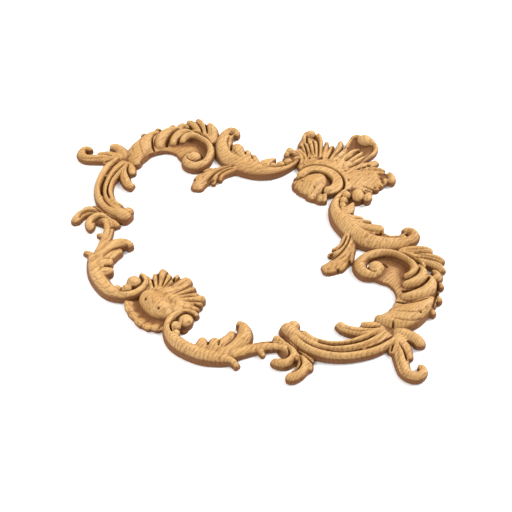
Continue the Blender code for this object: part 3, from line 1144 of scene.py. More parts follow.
    def gouges(self) -> list[Gouge]:
        """Lists the slots, the scroll's grooves, the notches and the pin-holes.

        Returns:
            The gouges, in drawing millimetres.
        """
        slots = [
            Gouge(((5, 221), (6.6, 211), (7, 200), (6.2, 188)), 2.5, 6.5, 0.12),
            Gouge(((-1.5, 185), (-2.6, 200), (-3.5, 213)), 1.5, 2.2),
            Gouge(((-9.5, 182), (-11, 200), (-14.5, 212), (-16.5, 219)), 1.6, 3.5),
            Gouge(((14, 188), (14.4, 204), (14.4, 218)), 1.4, 1.8),
            Gouge(((17, 180), (20.5, 198), (20.5, 216), (20, 226)), 1.6, 3),
            Gouge(((33.5, 205.5), (31.5, 202)), 1.5, 4.5, 0.2),
            Gouge(((31, 198.5), (29, 194.5)), 1.5, 4.5, 0.2),
            Gouge(((28.5, 191.5), (26.5, 188)), 1.4, 4, 0.2),
            Gouge(((24, 182), (28, 192), (34, 206)), 1.4, 1.6),
            Gouge(((42, 186), (47, 194)), 1.1, 1.2),
            Gouge(((56, 196), (63, 190), (66, 187)), 2.6, 3, 0.2),
            Gouge(((64, 163.5), (57, 161.5)), 1.6, 4, 0.2),
            Gouge(((65, 175), (61, 175)), 1.4, 3.5, 0.2),
            Gouge(((66, 170.5), (62, 170)), 1.4, 3.5, 0.2),
            Gouge(((-13, 178), (-18, 192), (-25, 205)), 1.7, 4.5),
            Gouge(((-56, 204), (-46, 199), (-36, 188), (-24, 172)), 1.6, 3.2),
            Gouge(((-53, 196), (-43, 187), (-30, 172)), 1.3, 2.4),
            Gouge(((-57, 191), (-45, 180), (-31, 167)), 1.3, 2.4),
            Gouge(((-58, 184), (-46, 174), (-34, 163)), 1.4, 3.5),
            Gouge(((-61, 194), (-57, 189), (-53, 184)), 1.5, 4.5, 0.2),
            Gouge(((-58, 176), (-52, 174)), 1.5, 4.5, 0.2),
            *pin_holes(
                ((-20.5, 174.5), (-31.5, 163.5), (17.5, 174.5), (31, 163)), self.hole_half, self.hole_depth
            ),
        ]
        middle = [
            Gouge(tuple(self.ring(1.2)), 1.7, 6.5, 0.06),
            Gouge(tuple(self.ring(-1.12)[1:-1]), 1.5, 6.5, 0.08),
            Gouge(((19, 136), (18, 131), (21, 125.5), (27, 123)), 1.4, 5, 0.15),
            Gouge(((-13, 135), (-12.5, 129), (-16, 125)), 1.1, 3.5, 0.2),
            *pin_holes(((-8.8, 121.5), (10.5, 121.5)), self.hole_half, self.hole_depth),
            Gouge(((-2, 181),), 1.2, 2.5),
        ]
        berries = [
            Gouge(((43.5, 148), (41.8, 140), (44.4, 129), (49.6, 119.5), (57, 112)), 1.3, 5, 0.12),
        ]
        return slots + middle + berries + mirrored_gouges(berries)


@dataclass
class UpperBranch(Carving):
    """The broad branch from the crest's berries to its curled tip, with the leaf that hangs from it."""

    name: str = "upper_branch"

    def band(self) -> list[Stroke | Bead]:
        """Lists the branch itself, its hooked tip and the flaps on its inner side.

        Returns:
            The forms, in drawing millimetres.
        """
        return [
            Stroke(((40.5, 152, 1.6, 8.5), (39.4, 141, 2.6, 10), (41, 129, 4, 11), (45.5, 118, 6, 12.5),
                (54, 108, 9, 14), (70, 101.5, 14.5, 14.5), (95, 99, 19, 14.5), (119, 103.5, 17.5, 13),
                (137, 115, 12, 11.5), (146.5, 128, 8.2, 11), (146.5, 138, 6.6, 11.5),
                (140.5, 141, 5.4, 11.5), (135, 138.5, 4.8, 11), (134, 134, 4.4, 10)), 0.62),
            Stroke(((84, 104, 9, 13), (99, 107, 9.5, 15), (110, 113.5, 8.8, 15.6), (116, 119.5, 7, 14.6)),
                0.45, 0.2),
            Stroke(((76, 104, 8, 13), (91, 112, 6.4, 14), (99, 118.5, 4.6, 13)), 0.4, 0.2),
            Stroke(((66, 104, 8, 13), (80, 112, 6, 13), (87, 118.5, 3.6, 11.5)), 0.4, 0.2),
            Stroke(((60, 106, 9, 13), (65, 114, 9, 13.5), (65, 121.5, 6, 12.5), (63, 128, 3.4, 11.5),
                (61.5, 133, 1.4, 10)), 0.3),
            Stroke(((112, 101, 6, 13), (125, 110, 5.5, 11.5), (131, 119, 4.4, 9.5), (131.5, 124, 3.2, 8)),
                0.5),
            Stroke(((130, 114, 7, 9), (138, 125, 7, 9), (140, 135, 6, 9.5)), 0.4, 0.2),
        ]

    def leaf(self) -> list[Stroke | Bead]:
        """Lists the hanging leaf's blade and its side lobes.

        Returns:
            The forms, in drawing millimetres.
        """
        return [
            Stroke(((88, 90, 9, 9.5), (98, 76, 9.5, 10.5), (105, 61, 10.5, 10.5), (106.5, 47, 10.8, 9.5),
                (103.5, 35, 9.5, 8.5), (98, 26.5, 8, 7)), 0.6, 0.1, flutes=3, flute_depth=1.1),
            Stroke(((86, 92, 6, 10), (91, 76, 4.2, 9.5), (92.5, 66, 3.6, 8.5), (88.5, 57.5, 2.8, 6.5))),
            Stroke(((92, 86, 5, 10), (96.5, 68, 4, 9.5), (96, 56, 3.6, 8.5), (90, 47.5, 2.8, 6.5))),
            Stroke(((108, 68, 5, 9), (113.5, 60, 4, 8), (116, 54.5, 3, 6.5))),
            Stroke(((111, 52, 5, 8.5), (114, 44, 4, 7.5), (113.5, 38, 3, 6))),
        ]

    def strokes(self) -> list[Stroke | Bead]:
        """Lists the forms that make up the branch and its leaf."""
        return self.band() + self.leaf()

    def gouges(self) -> list[Gouge]:
        """Lists the lines under the flaps, the hooked tip's hollow, the leaf's grooves and the notches.

        Returns:
            The gouges, in drawing millimetres.
        """
        return [
            Gouge(((124, 118), (121, 112), (113.5, 105)), 1.8, 6.5, 0.25),
            Gouge(((119, 112), (104, 103), (88, 101)), 1.6, 1.6, 0.4),
            Gouge(((104.5, 122), (100, 115.5), (92, 110)), 1.4, 3.2, 0.3),
            Gouge(((91.5, 120), (87, 114), (80, 109.5)), 1.3, 2.4, 0.3),
            Gouge(((76, 120), (71.5, 113)), 1.5, 3.4, 0.3),
            Gouge(((126, 120), (121, 112), (110, 103)), 1.4, 2.2, 0.3),
            Gouge(((140.6, 134), (139, 129.5)), 2.8, 9, 0.15),
            Gouge(((138, 127), (131, 116), (118, 105.5), (100, 99)), 1.6, 2.6, 0.3),
            Gouge(((145.5, 136), (144.5, 126), (137, 113)), 1.3, 1.5, 0.3),
            Gouge(((117.5, 111),), 2.2, 7),
            Gouge(((55, 121), (54, 116)), 1.4, 4, 0.3),
            Gouge(((92, 88), (98.5, 72), (100.5, 58), (98.5, 44)), 1.5, 4, 0.2),
            Gouge(((89, 84), (94.5, 70), (94.8, 60)), 1.3, 3.5, 0.2),
            Gouge(((99, 84), (106, 66), (107, 50), (103, 34)), 1.3, 1.8),
            Gouge(((104, 76), (111, 60), (111.5, 46)), 1.2, 1.5),
            Gouge(((94.5, 53), (92.5, 48)), 1.6, 4, 0.2),
            Gouge(((118, 54), (113.5, 56.5)), 2.0, 5.5, 0.2),
            Gouge(((116, 35.5), (111.5, 38.5)), 2.0, 5.5, 0.2),
        ]


@dataclass
class UpperScroll(Carving):
    """The C scroll of the upper side: its volute and trough, and the leaf that wraps its back.

    Attributes:
        button_radius: The ball in the middle of the volute.
        button_height: The height of the ball's top.
        fold_crown: How much the folds' tops round off.
        fold_lean: How far the folds lean, each under the next.
    """

    name: str = "upper_scroll"
    button_radius: float = 9.8
    button_height: float = 13.2
    fold_crown: float = 0.7
    fold_lean: float = -2.0

    def scroll(self) -> list[Stroke | Bead]:
        """Lists the wide trough, its outer rim and the volute.

        Returns:
            The forms, in drawing millimetres.
        """
        return [
            Stroke(((136, 68, 14, 6.2), (148, 72, 20, 5.8), (165, 77.5, 20.5, 5.4), (183, 73, 20, 5.6),
                (197, 58, 17, 6.5), (204, 38, 16, 8), (203, 15, 14, 7), (206, 0, 11, 5)), 0.12, 0.3,
                lean=-6.0),
            Stroke(((134, 76, 10, 3), (141, 86, 11, 3), (156, 92, 12, 3), (176, 90, 14, 3),
                (192, 80, 14, 4)), 0.1, 0.4),
            Stroke(((174, 99.5, 1.6, 10), (162, 99.5, 2.4, 12.5), (147, 97.5, 3, 13), (133, 87.5, 4.8, 13),
                (125, 71, 6.2, 12.5), (127.5, 57.5, 8.4, 12.5), (138, 52.5, 8.6, 12), (146.5, 58, 7, 12),
                (148, 66.5, 5.4, 12.5)), 0.6),
            Bead(143, 67, self.button_radius, self.button_height),
        ]

    def wraps(self) -> list[Stroke | Bead]:
        """Lists the leaf's overlapping folds, its broad last blade and the curled lobes on its outer edge.

        Returns:
            The forms, in drawing millimetres.
        """
        folds = (
            ((158, 99.5, 1.6, 11), (169, 98.5, 3.4, 13.5), (177.5, 92, 5.2, 14.2), (179, 83.5, 5.2, 14),
             (174.5, 75.5, 3.4, 11)),
            ((176, 101, 2, 10), (186, 96, 5.4, 13.5), (190, 86, 7, 14.5), (187, 74.5, 6.4, 14.2),
             (180.5, 64.5, 4, 11.5)),
            ((193, 97, 4, 9), (202, 88, 7.4, 13.5), (204.5, 74, 9.6, 14.7), (198.5, 59, 9, 14.4),
             (188.5, 48.5, 5, 11)),
        )
        forms: list[Stroke | Bead] = [
            Stroke(fold, self.fold_crown, lean=self.fold_lean) for fold in folds
        ]
        forms += [
            Stroke(((216, 74, 6, 9), (214, 60, 9.5, 13.5), (209.5, 42, 16, 14.5), (203, 25, 16.5, 14.5),
                (194, 13, 11, 13), (184, 7.5, 4.4, 10)), 0.5),
            Stroke(((205, 92, 6, 8), (210, 93.5, 5, 9), (213, 89, 3.4, 7))),
            Stroke(((214, 76, 6, 8), (219.5, 75.5, 5, 9), (222, 70.5, 3.4, 7))),
            Stroke(((220, 58, 6, 8), (225, 55.5, 4.6, 9), (226.5, 51, 3, 7))),
            Stroke(((210, 82, 4, 8), (215.5, 84, 3.4, 7))),
            Stroke(((218, 66, 4, 8), (223, 63, 3, 6.5))),
        ]
        return forms

    def strokes(self) -> list[Stroke | Bead]:
        """Lists the forms that make up the scroll."""
        return self.scroll() + self.wraps()

    def gouges(self) -> list[Gouge]:
        """Lists the volute's spiral, the slots between the folds, the blade's grooves and its pin-hole.

        Returns:
            The gouges, in drawing millimetres.
        """
        return [
            Gouge(((152, 77), (146, 79), (138, 75.5), (133.5, 68), (136, 60), (143, 57), (149, 59.5)), 1.5,
                4.5, 0.12),
            Gouge(((181, 97), (182.5, 87), (181.5, 76), (178, 70)), 1.3, 4.5, 0.15),
            Gouge(((196, 93), (197, 81), (192.5, 67), (184, 57.5)), 2.0, 9, 0.12),
            Gouge(((212, 66), (207, 54), (198, 45.5), (188, 40)), 1.4, 4.5, 0.15),
            Gouge(((220, 52), (213, 38), (200, 28), (190, 24)), 1.1, 1.4, 0.3),
            Gouge(((222, 40), (213, 25), (199, 15)), 1.1, 1.4, 0.3),
            Gouge(((205.5, 96), (211, 86), (217, 72), (222, 58)), 1.4, 4, 0.15),
            Gouge(((186, 33), (190, 32)), 1.6, 4, 0.25),
            Gouge(((184, 23), (188, 23)), 1.6, 4, 0.25),
            Gouge(((183, 14), (187, 15)), 1.6, 4, 0.25),
            Gouge(((211, 85), (212.5, 88)), 1.5, 5, 0.2),
            Gouge(((221, 67.5), (221.5, 71)), 1.5, 5, 0.2),
            Gouge(((227, 49), (226, 52)), 1.4, 5, 0.2),
            Gouge(((217, 43.5),), 1.5, 5),
            Gouge(((206, 10), (203, 14)), 1.6, 4, 0.2),
        ]


@dataclass
class OuterFan(Carving):
    """The leaf of arched fingers that spreads outside the upper scroll."""

    name: str = "outer_fan"

    def strokes(self) -> list[Stroke | Bead]:
        """Lists the fan's fingers and its lower lobe.

        Returns:
            The forms, in drawing millimetres.
        """
        return [
            Stroke(((148, 106, 7, 8), (166, 113, 10, 7), (184, 116, 9, 6), (196, 112, 6, 5)), 0.3, 0.2),
            Stroke(((146, 104, 7, 9.5), (158, 116, 9, 12), (169, 125, 8.4, 12.5), (177.5, 128, 6, 11)),
                0.7, 0.1),
            Stroke(((156, 107, 6, 10), (173, 117, 6, 12), (187, 123, 6, 12.4), (195.5, 123, 5, 10.5)), 0.8,
                0.1),
            Stroke(((162, 104, 5, 10), (180, 110.5, 5.2, 11.5), (194, 114.5, 5.2, 12),
                (202.5, 111.5, 4.4, 10)), 0.8, 0.1),
            Stroke(((146, 102.5, 3.6, 9), (160, 108, 3.6, 10.5), (173, 108.5, 3.4, 10.5),
                (183.5, 102, 3, 9.5))),
            Stroke(((191, 107, 4, 9), (200, 104.5, 6, 11), (201, 98, 6.4, 11), (194.5, 94.5, 4.4, 8)), 0.8,
                0.1),
        ]

    def gouges(self) -> list[Gouge]:
        """Lists the valleys between the fingers, their soft flutes and the dark slit along the scroll.

        Returns:
            The gouges, in drawing millimetres.
        """
        return [
            Gouge(((162, 110), (174, 120.5), (186, 128)), 1.4, 5.5),
            Gouge(((166, 106), (180, 115), (192, 118.3), (201, 117)), 1.5, 6),
            Gouge(((184, 106), (194, 108.5), (204, 105.5)), 1.6, 6.5, 0.2),
            Gouge(((148, 101), (160, 104.3), (173, 104.8), (182, 99.5)), 2.0, 8, 0.12),
            Gouge(((187.5, 103),), 3.2, 12),
            Gouge(((152, 108), (163, 118), (172, 126)), 1.1, 1.4),
            Gouge(((157, 108), (167, 116), (177, 124)), 1.1, 1.4),
            Gouge(((168, 112), (182, 119), (193, 122)), 1.0, 1.2),
            Gouge(((172, 107), (186, 112.5), (198, 113)), 1.0, 1.2),
        ]


@dataclass
class OuterCurl(Carving):
    """The cluster at mid height: a curled outer leaf with its lobes, and the leaf that hooks inward."""

    name: str = "outer_curl"

    def strokes(self) -> list[Stroke | Bead]:
        """Lists the cluster's leaves.

        Returns:
            The forms, in drawing millimetres.
        """
        return [
            Stroke(((206, 14, 11, 7), (220, 10, 15, 7), (228, 4, 13, 6.5)), 0.3, 0.3),
            Stroke(((212, 12, 10, 8), (225, -4, 10, 9.5), (236, -17, 8.4, 10), (247, -26, 7.4, 10),
                (257, -24.5, 6.6, 10.5), (260.4, -17, 5.4, 10.5), (256.5, -11.5, 4.4, 9.5),
                (252, -13, 3, 8)), 0.6),
            Stroke(((206, 10, 8, 8), (222, 15, 8, 9), (234, 15, 8, 10), (240.5, 8.5, 6, 9)), 0.7, 0.1),
            Stroke(((214, 6, 6, 8), (229, 0, 6, 9), (242, -11, 4.4, 7.5)), 0.6, 0.1),
            Stroke(((214, 2, 7, 7), (220, -9, 6, 7.5), (223.5, -17.5, 4, 6.5))),
            Stroke(((200, 8, 8, 8), (190.5, -8, 8, 9.5), (178.5, -19, 7.2, 10), (167, -23.5, 6.6, 9.5),
                (159, -21.5, 6, 9)), 0.6, 0.1),
            Stroke(((198, 8, 7, 8), (187, -1, 6.4, 9), (177.5, -7.5, 5, 8)), 0.6, 0.1),
        ]

    def gouges(self) -> list[Gouge]:
        """Lists the valleys between the leaves and the hollow inside the curl.

        Returns:
            The gouges, in drawing millimetres.
        """
        return [
            Gouge(((226, 6), (233, 6.5), (238, 4)), 2.2, 7, 0.15),
            Gouge(((210, 14), (222, 19), (233, 19)), 1.1, 1.3),
            Gouge(((221, -2), (232, -8), (241, -16)), 1.5, 4),
            Gouge(((213, 2), (219, -9), (222, -16)), 1.4, 4),
            Gouge(((222, -6), (233, -19), (246, -29.5), (257, -29)), 1.2, 1.5),
            Gouge(((255.5, -19), (254, -15.5)), 2.0, 7, 0.2),
            Gouge(((196, 2), (186, -8.5), (173, -14.5)), 1.6, 5),
            Gouge(((194, -6), (182, -19.5), (168, -26)), 1.1, 1.4),
        ]


@dataclass
class LowerScroll(Carving):
    """The C scroll of the lower side: a broad outer rim, a deep channel, an inner rim and a rolled end."""

    name: str = "lower_scroll"

    def strokes(self) -> list[Stroke | Bead]:
        """Lists the scroll's channel, rims and rolled end.

        Returns:
            The forms, in drawing millimetres.
        """
        return [
            Stroke(((206, 6, 10, 6), (202, -16, 10.5, 6.5), (193, -35, 10.5, 7), (180, -51, 11, 7),
                (163, -62, 11.5, 8), (145, -66, 11.5, 9.5), (130, -64.5, 11, 10.5)), 0.2),
            Stroke(((216, 2, 3.8, 9), (211.5, -20, 5, 10.5), (202, -38, 5.4, 11), (188, -54.5, 5.6, 11.5),
                (171, -66, 6, 12), (152, -70.5, 6.6, 12.5), (134, -69.5, 7.4, 12.5)), 0.8),
            Stroke(((203, 4, 3.6, 8), (199, -18, 4, 9.5), (190.5, -36, 4, 10), (178, -50.5, 4, 10.5),
                (162, -61, 4.4, 11.5), (146, -65, 5, 13)), 0.8),
            Stroke(((196, 0, 3.2, 9), (190.5, -20, 3.2, 10), (182, -38, 3.4, 11), (169.5, -51.5, 4, 12),
                (154, -59, 5, 13), (140, -59, 6.2, 13)), 0.8),
            Stroke(((156, -66, 8.5, 12), (142, -66.5, 10, 13.5), (130, -65, 10.4, 14.2),
                (118, -63, 9.6, 13)), 0.75, 0.1),
            Bead(128.5, -58, 7, 13.4),
        ]

    def gouges(self) -> list[Gouge]:
        """Lists the channels along the rims and the notch at the rolled end.

        Returns:
            The gouges, in drawing millimetres.
        """
        return [
            Gouge(((212, 2), (207.5, -16), (201.5, -30)), 1.7, 7.5, 0.12),
            Gouge(((199.5, -33), (187.5, -50), (173, -60.5)), 1.8, 8, 0.12),
            Gouge(((200, 2), (195, -20), (186, -37), (173.5, -51.5), (160, -58.5)), 1.5, 6, 0.12),
            Gouge(((172, -62.5), (155, -67.2), (138, -67.5)), 1.3, 2.2, 0.4),
            Gouge(((136.5, -51), (136, -57)), 2.0, 6.5, 0.2),
        ]


@dataclass
class LowerLeaves(Carving):
    """The leaves under the lower scroll and the fluted stem that leads to the lower branch."""

    name: str = "lower_leaves"

    def strokes(self) -> list[Stroke | Bead]:
        """Lists the leaves and the stem.

        Returns:
            The forms, in drawing millimetres.
        """
        return [
            Stroke(((172, -78, 8, 6), (150, -82, 12, 6.5), (130, -83, 8, 6)), 0.3),
            Stroke(((156, -78, 6, 7), (167, -82, 6, 8.5), (176, -88.5, 3.4, 6.5)), 0.6),
            Stroke(((154, -77, 7, 8), (164.5, -84, 7, 10), (169, -95, 7, 10.5), (167, -105.5, 6.8, 10),
                (162, -110.5, 5, 8)), 0.6),
            Stroke(((132, -78, 5, 8), (145, -80, 5.4, 10), (152.5, -88, 6, 10.5),
                (151.5, -97.5, 6.2, 10.5), (144, -103, 6, 9.5), (139, -102.5, 4.4, 8)), 0.6),
            Stroke(((140, -79, 5, 8), (128, -79.5, 5, 9), (121, -82.5, 5.2, 8)), 0.7, 0.1),
            Stroke(((114, -100, 6, 8), (121.5, -102.5, 4.6, 8), (130, -106, 2.2, 6.5)), 0.6),
            Stroke(((147, -83, 4, 9), (136, -84.5, 5, 10.5), (126, -91, 6.4, 10.5), (117, -102, 6.8, 10.5),
                (109.5, -115, 7, 10.5), (101, -129, 8, 11)), 0.7, hollow=1.8),
        ]

    def gouges(self) -> list[Gouge]:
        """Lists the valleys between the leaves and the deep hollow behind the second leaf.

        Returns:
            The gouges, in drawing millimetres.
        """
        return [
            Gouge(((156, -81), (164, -88), (166.5, -97), (164, -104)), 1.4, 4.5),
            Gouge(((157, -88), (158.5, -96), (156.5, -103)), 2.2, 8, 0.15),
            Gouge(((140, -82.5), (147, -86), (148.5, -93), (146, -99)), 1.4, 4.5),
            Gouge(((140, -90.5), (136.5, -96)), 4.2, 8, 0.1),
            Gouge(((132, -97), (128, -99)), 2.4, 5, 0.3),
            Gouge(((178, -80), (158, -79), (140, -77.5), (122, -76)), 1.5, 4, 0.2),
            Gouge(((141, -81), (130, -85.5), (119, -95), (111, -108)), 1.2, 2, 0.3),
            Gouge(((123, -90), (125, -86)), 1.6, 4, 0.3),
        ]


@dataclass
class LowerBranch(Carving):
    """The branch that runs to the foot shell, with its upright leaf, its two lobes and the foot's berries.

    Attributes:
        berry_radius: The largest berry.
        berry_height: The height of its top.
    """

    name: str = "lower_branch"
    berry_radius: float = 8.4
    berry_height: float = 14.2

    def strokes(self) -> list[Stroke | Bead]:
        """Lists the branch, its leaves and the berries.

        Returns:
            The forms, in drawing millimetres.
        """
        return [
            Stroke(((120, -133, 3.8, 6.5), (109, -131.5, 5.2, 8.5), (98, -137, 8.6, 10.5),
                (83, -145.5, 10.4, 12.5), (66, -151.5, 10, 13.5), (50, -153, 9.4, 13.5),
                (37, -149.5, 6.8, 13), (28.5, -141, 5, 13), (26.5, -131, 4.6, 12.5),
                (29.5, -121, 4.2, 11.5), (38, -114.5, 3.6, 10), (45, -115.5, 3.2, 9)), 0.7),
            Stroke(((93, -145, 9, 11), (98, -125, 11, 11.5), (100, -110, 11.5, 12),
                (97.5, -99.5, 9.5, 12.5), (89.5, -93.5, 5.6, 12.5), (82, -95, 4.2, 11)), 0.5),
            Stroke(((86, -143, 8, 11.5), (88, -126, 8, 11.5), (88.5, -113, 6.4, 10.5),
                (86, -104.5, 4, 9.5)), 0.5),
            Stroke(((90, -142, 10, 12), (84.5, -131, 8.4, 13.5), (79, -124, 5.4, 12)), 0.45, 0.1),
            Stroke(((80, -148, 10, 12), (74.5, -138.5, 7, 13), (69, -132, 3.8, 11)), 0.45, 0.1),
            Stroke(((44, -140, 7, 6), (40, -130, 7, 6))),
            Bead(40.5, -128, self.berry_radius, self.berry_height),
            Bead(38.2, -140.2, 5.6, 13.8),
            Bead(45.5, -146.5, 3.8, 13.5),
        ]

    def gouges(self) -> list[Gouge]:
        """Lists the grooves of the leaf and the hollows round the berries.

        Returns:
            The gouges, in drawing millimetres.
        """
        return [
            Gouge(((94, -128), (94.5, -114), (91, -103)), 1.3, 2.2),
            Gouge(((104, -128), (105, -113), (101, -101)), 1.2, 1.4),
            Gouge(((88, -98), (83, -98.8)), 2.4, 8, 0.2),
            Gouge(((89, -130), (85, -123.5)), 1.3, 3),
            Gouge(((80.5, -136), (76.5, -130)), 1.4, 3.4),
            Gouge(((40, -118), (33.5, -120.5), (31.4, -128), (31.4, -136), (34, -144), (42, -149)), 1.2, 6,
                0.12),
        ]


@dataclass
class FootShell(Carving):
    """The shell at the bottom: a fan of ribs over a plain dome, with a soft scalloped skirt under it.

    Attributes:
        hole_half: Half a pin-hole's width.
        hole_depth: How deep the pin-holes are.
    """

    name: str = "foot_shell"
    hole_half: float = 1.7
    hole_depth: float = 7.0

    def right_fan(self) -> list[Stroke | Bead]:
        """Lists the right side's soft ribs.

        Returns:
            The forms, in drawing millimetres.
        """
        return [
            Stroke(((8, -138, 18, 10), (16, -116, 18, 11.5), (25, -102, 13, 9.5), (30, -95, 7, 8.5)), 0.2,
                0.3),
            Stroke(((6, -122, 4, 14), (12, -102, 4, 11), (15, -88, 3.4, 9))),
            Stroke(((9, -121, 4, 14), (18, -104, 4.4, 11), (23, -93.5, 3.4, 9))),
            Stroke(((12, -121, 5, 13.5), (24, -105, 6.4, 11.8), (33.5, -91.5, 6.4, 11)), 0.7, 0.1),
            Stroke(((16, -121, 5, 13), (29, -108, 5.4, 10.8), (37.5, -99.5, 4.2, 9))),
            Stroke(((19, -120, 4.6, 12.5), (32, -111.5, 4.4, 9.8), (39.5, -107.5, 3.2, 8))),
        ]

    def left_fan(self) -> list[Stroke | Bead]:
        """Lists the left side's crisp ribs.

        Returns:
            The forms, in drawing millimetres.
        """
        return [
            Stroke(((-8, -138, 18, 10), (-14, -116, 16, 10), (-21, -103, 11, 7.5), (-27, -96, 7, 6)), 0.2,
                0.3),
            Stroke(((-4, -121, 3.6, 13.5), (-9, -101, 3.6, 11), (-12, -88, 3.2, 9.5))),
            Stroke(((-7, -121, 3.8, 13.5), (-14, -106, 4, 11), (-20, -93.5, 3.4, 9.5))),
            Stroke(((-9, -121, 4.6, 13.5), (-20.5, -106, 6, 12), (-30, -93, 6.6, 11.5)), 0.7, 0.1),
            Stroke(((-12, -122, 4, 13), (-24, -111, 3.8, 10), (-33.5, -103, 3.2, 8.5))),
            Stroke(((-14, -124, 4, 12.5), (-25, -117, 3.6, 9.5), (-36.5, -111, 3.2, 8))),
        ]

    def middle(self) -> list[Stroke | Bead]:
        """Lists the centre rib, the dome and the skirt with its lobes.

        Returns:
            The forms, in drawing millimetres.
        """
        return [
            Stroke(((0, -138, 20, 10), (0, -118, 20, 13), (1.5, -100, 14, 10.5), (1, -86, 9, 9)), 0.2, 0.3),
            Stroke(((-0.5, -124, 6.4, 14), (0, -104, 7.6, 12.2), (0.8, -82, 8, 11)), 0.6),
            Stroke(((-23, -129, 9, 10.5), (-12, -131, 15, 14), (8, -132.5, 16.5, 15.2),
                (24, -134, 10.5, 12)), 0.5),
            *[
                Stroke(lobe, 0.3, 0.25)
                for lobe in (
                    ((-16, -138, 13, 6), (-23, -148, 11.5, 7.2), (-28, -153.5, 7.6, 7)),
                    ((-14, -140, 12, 6), (-17.5, -153, 9.5, 7.4), (-19, -159, 6, 6.6)),
                    ((-6, -142, 13, 6), (-8, -156, 11, 7.6), (-8.5, -162, 7, 7)),
                    ((4, -142, 13, 6), (3.5, -157, 10, 7.8), (3, -164, 6.6, 7.2)),
                    ((11, -142, 10, 6), (12.5, -156, 7.6, 7.8), (13, -162.5, 5, 7.2)),
                    ((17, -140, 10, 6.5), (20, -152, 8, 8.2), (21.5, -158, 5.4, 7.8)),
                    ((24, -140, 8, 6.5), (28.5, -148, 6.4, 7.8), (30, -151.5, 4.4, 7.4)),
                )
            ],
        ]

    def strokes(self) -> list[Stroke | Bead]:
        """Lists the forms that make up the shell."""
        return self.right_fan() + self.left_fan() + self.middle()

    def gouges(self) -> list[Gouge]:
        """Lists the valleys between the ribs, the groove under the dome and the pin-holes.

        Returns:
            The gouges, in drawing millimetres.
        """
        return [
            Gouge(((-0.6, -79), (-1.2, -86)), 1.3, 5, 0.25),
            Gouge(((-1.5, -84), (-2.4, -100), (-2.4, -110)), 1.1, 2),
            Gouge(((-4.8, -82), (-5.2, -98), (-4.6, -110)), 1.2, 2.6),
            Gouge(((2.8, -88), (2.2, -104)), 1.1, 1.2),
            Gouge(((8.5, -84), (8.2, -100), (6, -116)), 1.2, 2),
            Gouge(((18, -94), (14.5, -102), (10, -113)), 1.2, 1.6),
            Gouge(((27.5, -95), (20.5, -104), (14, -114)), 1.3, 2),
            Gouge(((35.5, -98), (27, -106.5), (19, -114)), 1.2, 1.6),
            Gouge(((38, -103.5), (31, -107.5)), 1.4, 3.2, 0.25),
            Gouge(((-8, -86), (-7.4, -100), (-6, -114)), 1.2, 3),
            Gouge(((-10.8, -94), (-9.2, -100)), 1.6, 7, 0.2),
            Gouge(((-15.6, -92), (-11.6, -103), (-8, -115)), 1.3, 3.4),
            Gouge(((-24, -93), (-17, -104), (-10, -115)), 1.3, 3.4),
            Gouge(((-33, -98), (-23, -107.5), (-13, -117)), 1.3, 3.4),
            Gouge(((-36, -107), (-25, -114), (-15, -120.5)), 1.3, 3.4),
            Gouge(((-36, -115), (-27, -120)), 1.4, 3),
            Gouge(((-30, -134), (-25.5, -142), (-17, -148), (-6, -151.5), (6, -152.5), (17, -149.5),
                (27, -142)), 7.5, 3.4, 0.1),
            Gouge(((-13, -156), (-14, -164)), 1.5, 1.6, 0.3),
            Gouge(((8.6, -156), (9, -166)), 1.4, 1.6, 0.3),
            Gouge(((24.5, -150), (26, -158)), 1.5, 2, 0.3),
            *pin_holes(((-10, -137.5), (10, -137.5)), self.hole_half, self.hole_depth),
        ]


@dataclass(frozen=True)
class Lamp:
    """A square area light.

    Attributes:
        name: The light's name.
        place: Where it hangs, in metres.
        size: Its side in metres.
        power: Its watts.
        colour: Its linear colour.
    """

    name: str
    place: Triple
    size: float
    power: float
    colour: Triple

    def build(self, aim: Triple) -> None:
        """Hangs the light.

        Args:
            aim: What it points at, in metres.
        """
        lamp = bpy.data.lights.new(self.name, "AREA")
        lamp.size = self.size
        lamp.energy = self.power
        lamp.color = self.colour
        hang(bpy.data.objects.new(self.name, lamp), self.place, aim)


def hang(holder: bpy.types.Object, place: Triple, aim: Triple) -> None:
    """Puts a light or a camera at a place, facing the aim.

    Args:
        holder: The light's or the camera's object.
        place: Where it goes, in metres.
        aim: What it faces, in metres.
    """
    holder.location = Vector(place)
    holder.rotation_euler = (Vector(aim) - Vector(place)).to_track_quat("-Z", "Y").to_euler()
    bpy.context.scene.collection.objects.link(holder)


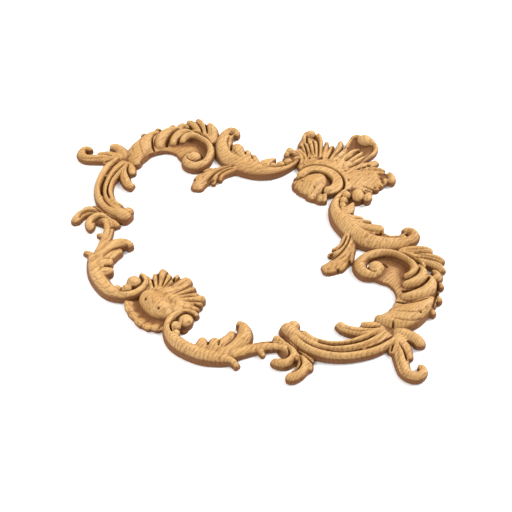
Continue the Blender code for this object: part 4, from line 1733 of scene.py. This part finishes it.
@dataclass
class Studio:
    """The pale ground, the camera at the photograph's angle and soft light from beyond the crest.

    Attributes:
        eye: Where the camera stands, in metres.
        aim: The point of the ground at the middle of its picture.
        lens: Its focal length in millimetres.
        sensor: Its sensor's width in millimetres.
        nearest: The nearest that it sees, in metres.
        ground: Half the ground's side, in metres.
        ground_drop: How far the ground lies under the back, in metres.
        ground_white: The ground's linear lightness.
        ground_roughness: How matt the ground is.
        sky: The sky's linear colour.
        sky_strength: How bright the sky is.
        lamps: The light from the crest's side, and the weaker one from the near side.
    """

    eye: Triple = (0.43455, -0.60621, 0.64610)
    aim: Triple = (0.02755, -0.15420, 0.0)
    lens: float = 54.76
    sensor: float = 36.0
    nearest: float = 0.01
    ground: float = 6.0
    ground_drop: float = 0.0002
    ground_white: float = 0.97
    ground_roughness: float = 0.9
    sky: Triple = (0.96, 0.97, 1.0)
    sky_strength: float = 0.68
    lamps: tuple[Lamp, ...] = (
        Lamp("key", (1.205, 3.458, 3.45), 2.4, 350.0, (1.0, 0.98, 0.95)),
        Lamp("fill", (-0.7, -1.1, 1.1), 1.6, 24.0, (1.0, 0.97, 0.93)),
    )

    def build(self) -> None:
        """Sets up the ground, the camera, the lights and the sky."""
        self.build_ground()
        self.build_camera()
        for lamp in self.lamps:
            lamp.build(self.aim)
        self.build_sky()

    def build_sky(self) -> None:
        """Lights everything evenly and shows colours as they are."""
        world = bpy.data.worlds.new("sky")
        world.use_nodes = True
        background = world.node_tree.nodes["Background"]
        background.inputs["Color"].default_value = (*self.sky, 1.0)
        background.inputs["Strength"].default_value = self.sky_strength
        bpy.context.scene.world = world
        bpy.context.scene.view_settings.view_transform = "Standard"

    def build_ground(self) -> None:
        """Lays the plain white ground just under the back."""
        bm = bmesh.new()
        under = Matrix.Translation((0, 0, -self.ground_drop))
        bmesh.ops.create_grid(bm, x_segments=1, y_segments=1, size=self.ground, matrix=under)
        mesh = mesh_of(bm, "ground")
        ground = bpy.data.objects.new("ground", mesh)
        bpy.context.scene.collection.objects.link(ground)
        board = Board(bpy.data.materials.new("ground"))
        shader = board.tree.nodes["Principled BSDF"]
        shader.inputs["Base Color"].default_value = (*[self.ground_white] * 3, 1.0)
        shader.inputs["Roughness"].default_value = self.ground_roughness
        mesh.materials.append(board.material)

    def build_camera(self) -> None:
        """Puts the camera at the photograph's angle."""
        camera = bpy.data.cameras.new("camera")
        camera.lens = self.lens
        camera.sensor_width = self.sensor
        camera.clip_start = self.nearest
        holder = bpy.data.objects.new("camera", camera)
        hang(holder, self.eye, self.aim)
        bpy.context.scene.camera = holder


def main() -> None:
    """Builds the applique and its studio."""
    logging.basicConfig(level=logging.INFO, format="%(name)s: %(message)s")
    oak = BareOak().material()
    # The shells stand on the centre line and are drawn whole, so they have no mirrored twin.
    for shell in (CrestShell(), FootShell()):
        shell.build(oak, [Side.RIGHT])
    members = (
        UpperBranch(), UpperScroll(), OuterFan(), OuterCurl(), LowerScroll(), LowerLeaves(), LowerBranch(),
    )
    for member in members:
        member.build(oak, [Side.RIGHT, Side.LEFT])
    Studio().build()


if __name__ == "__main__":
    main()
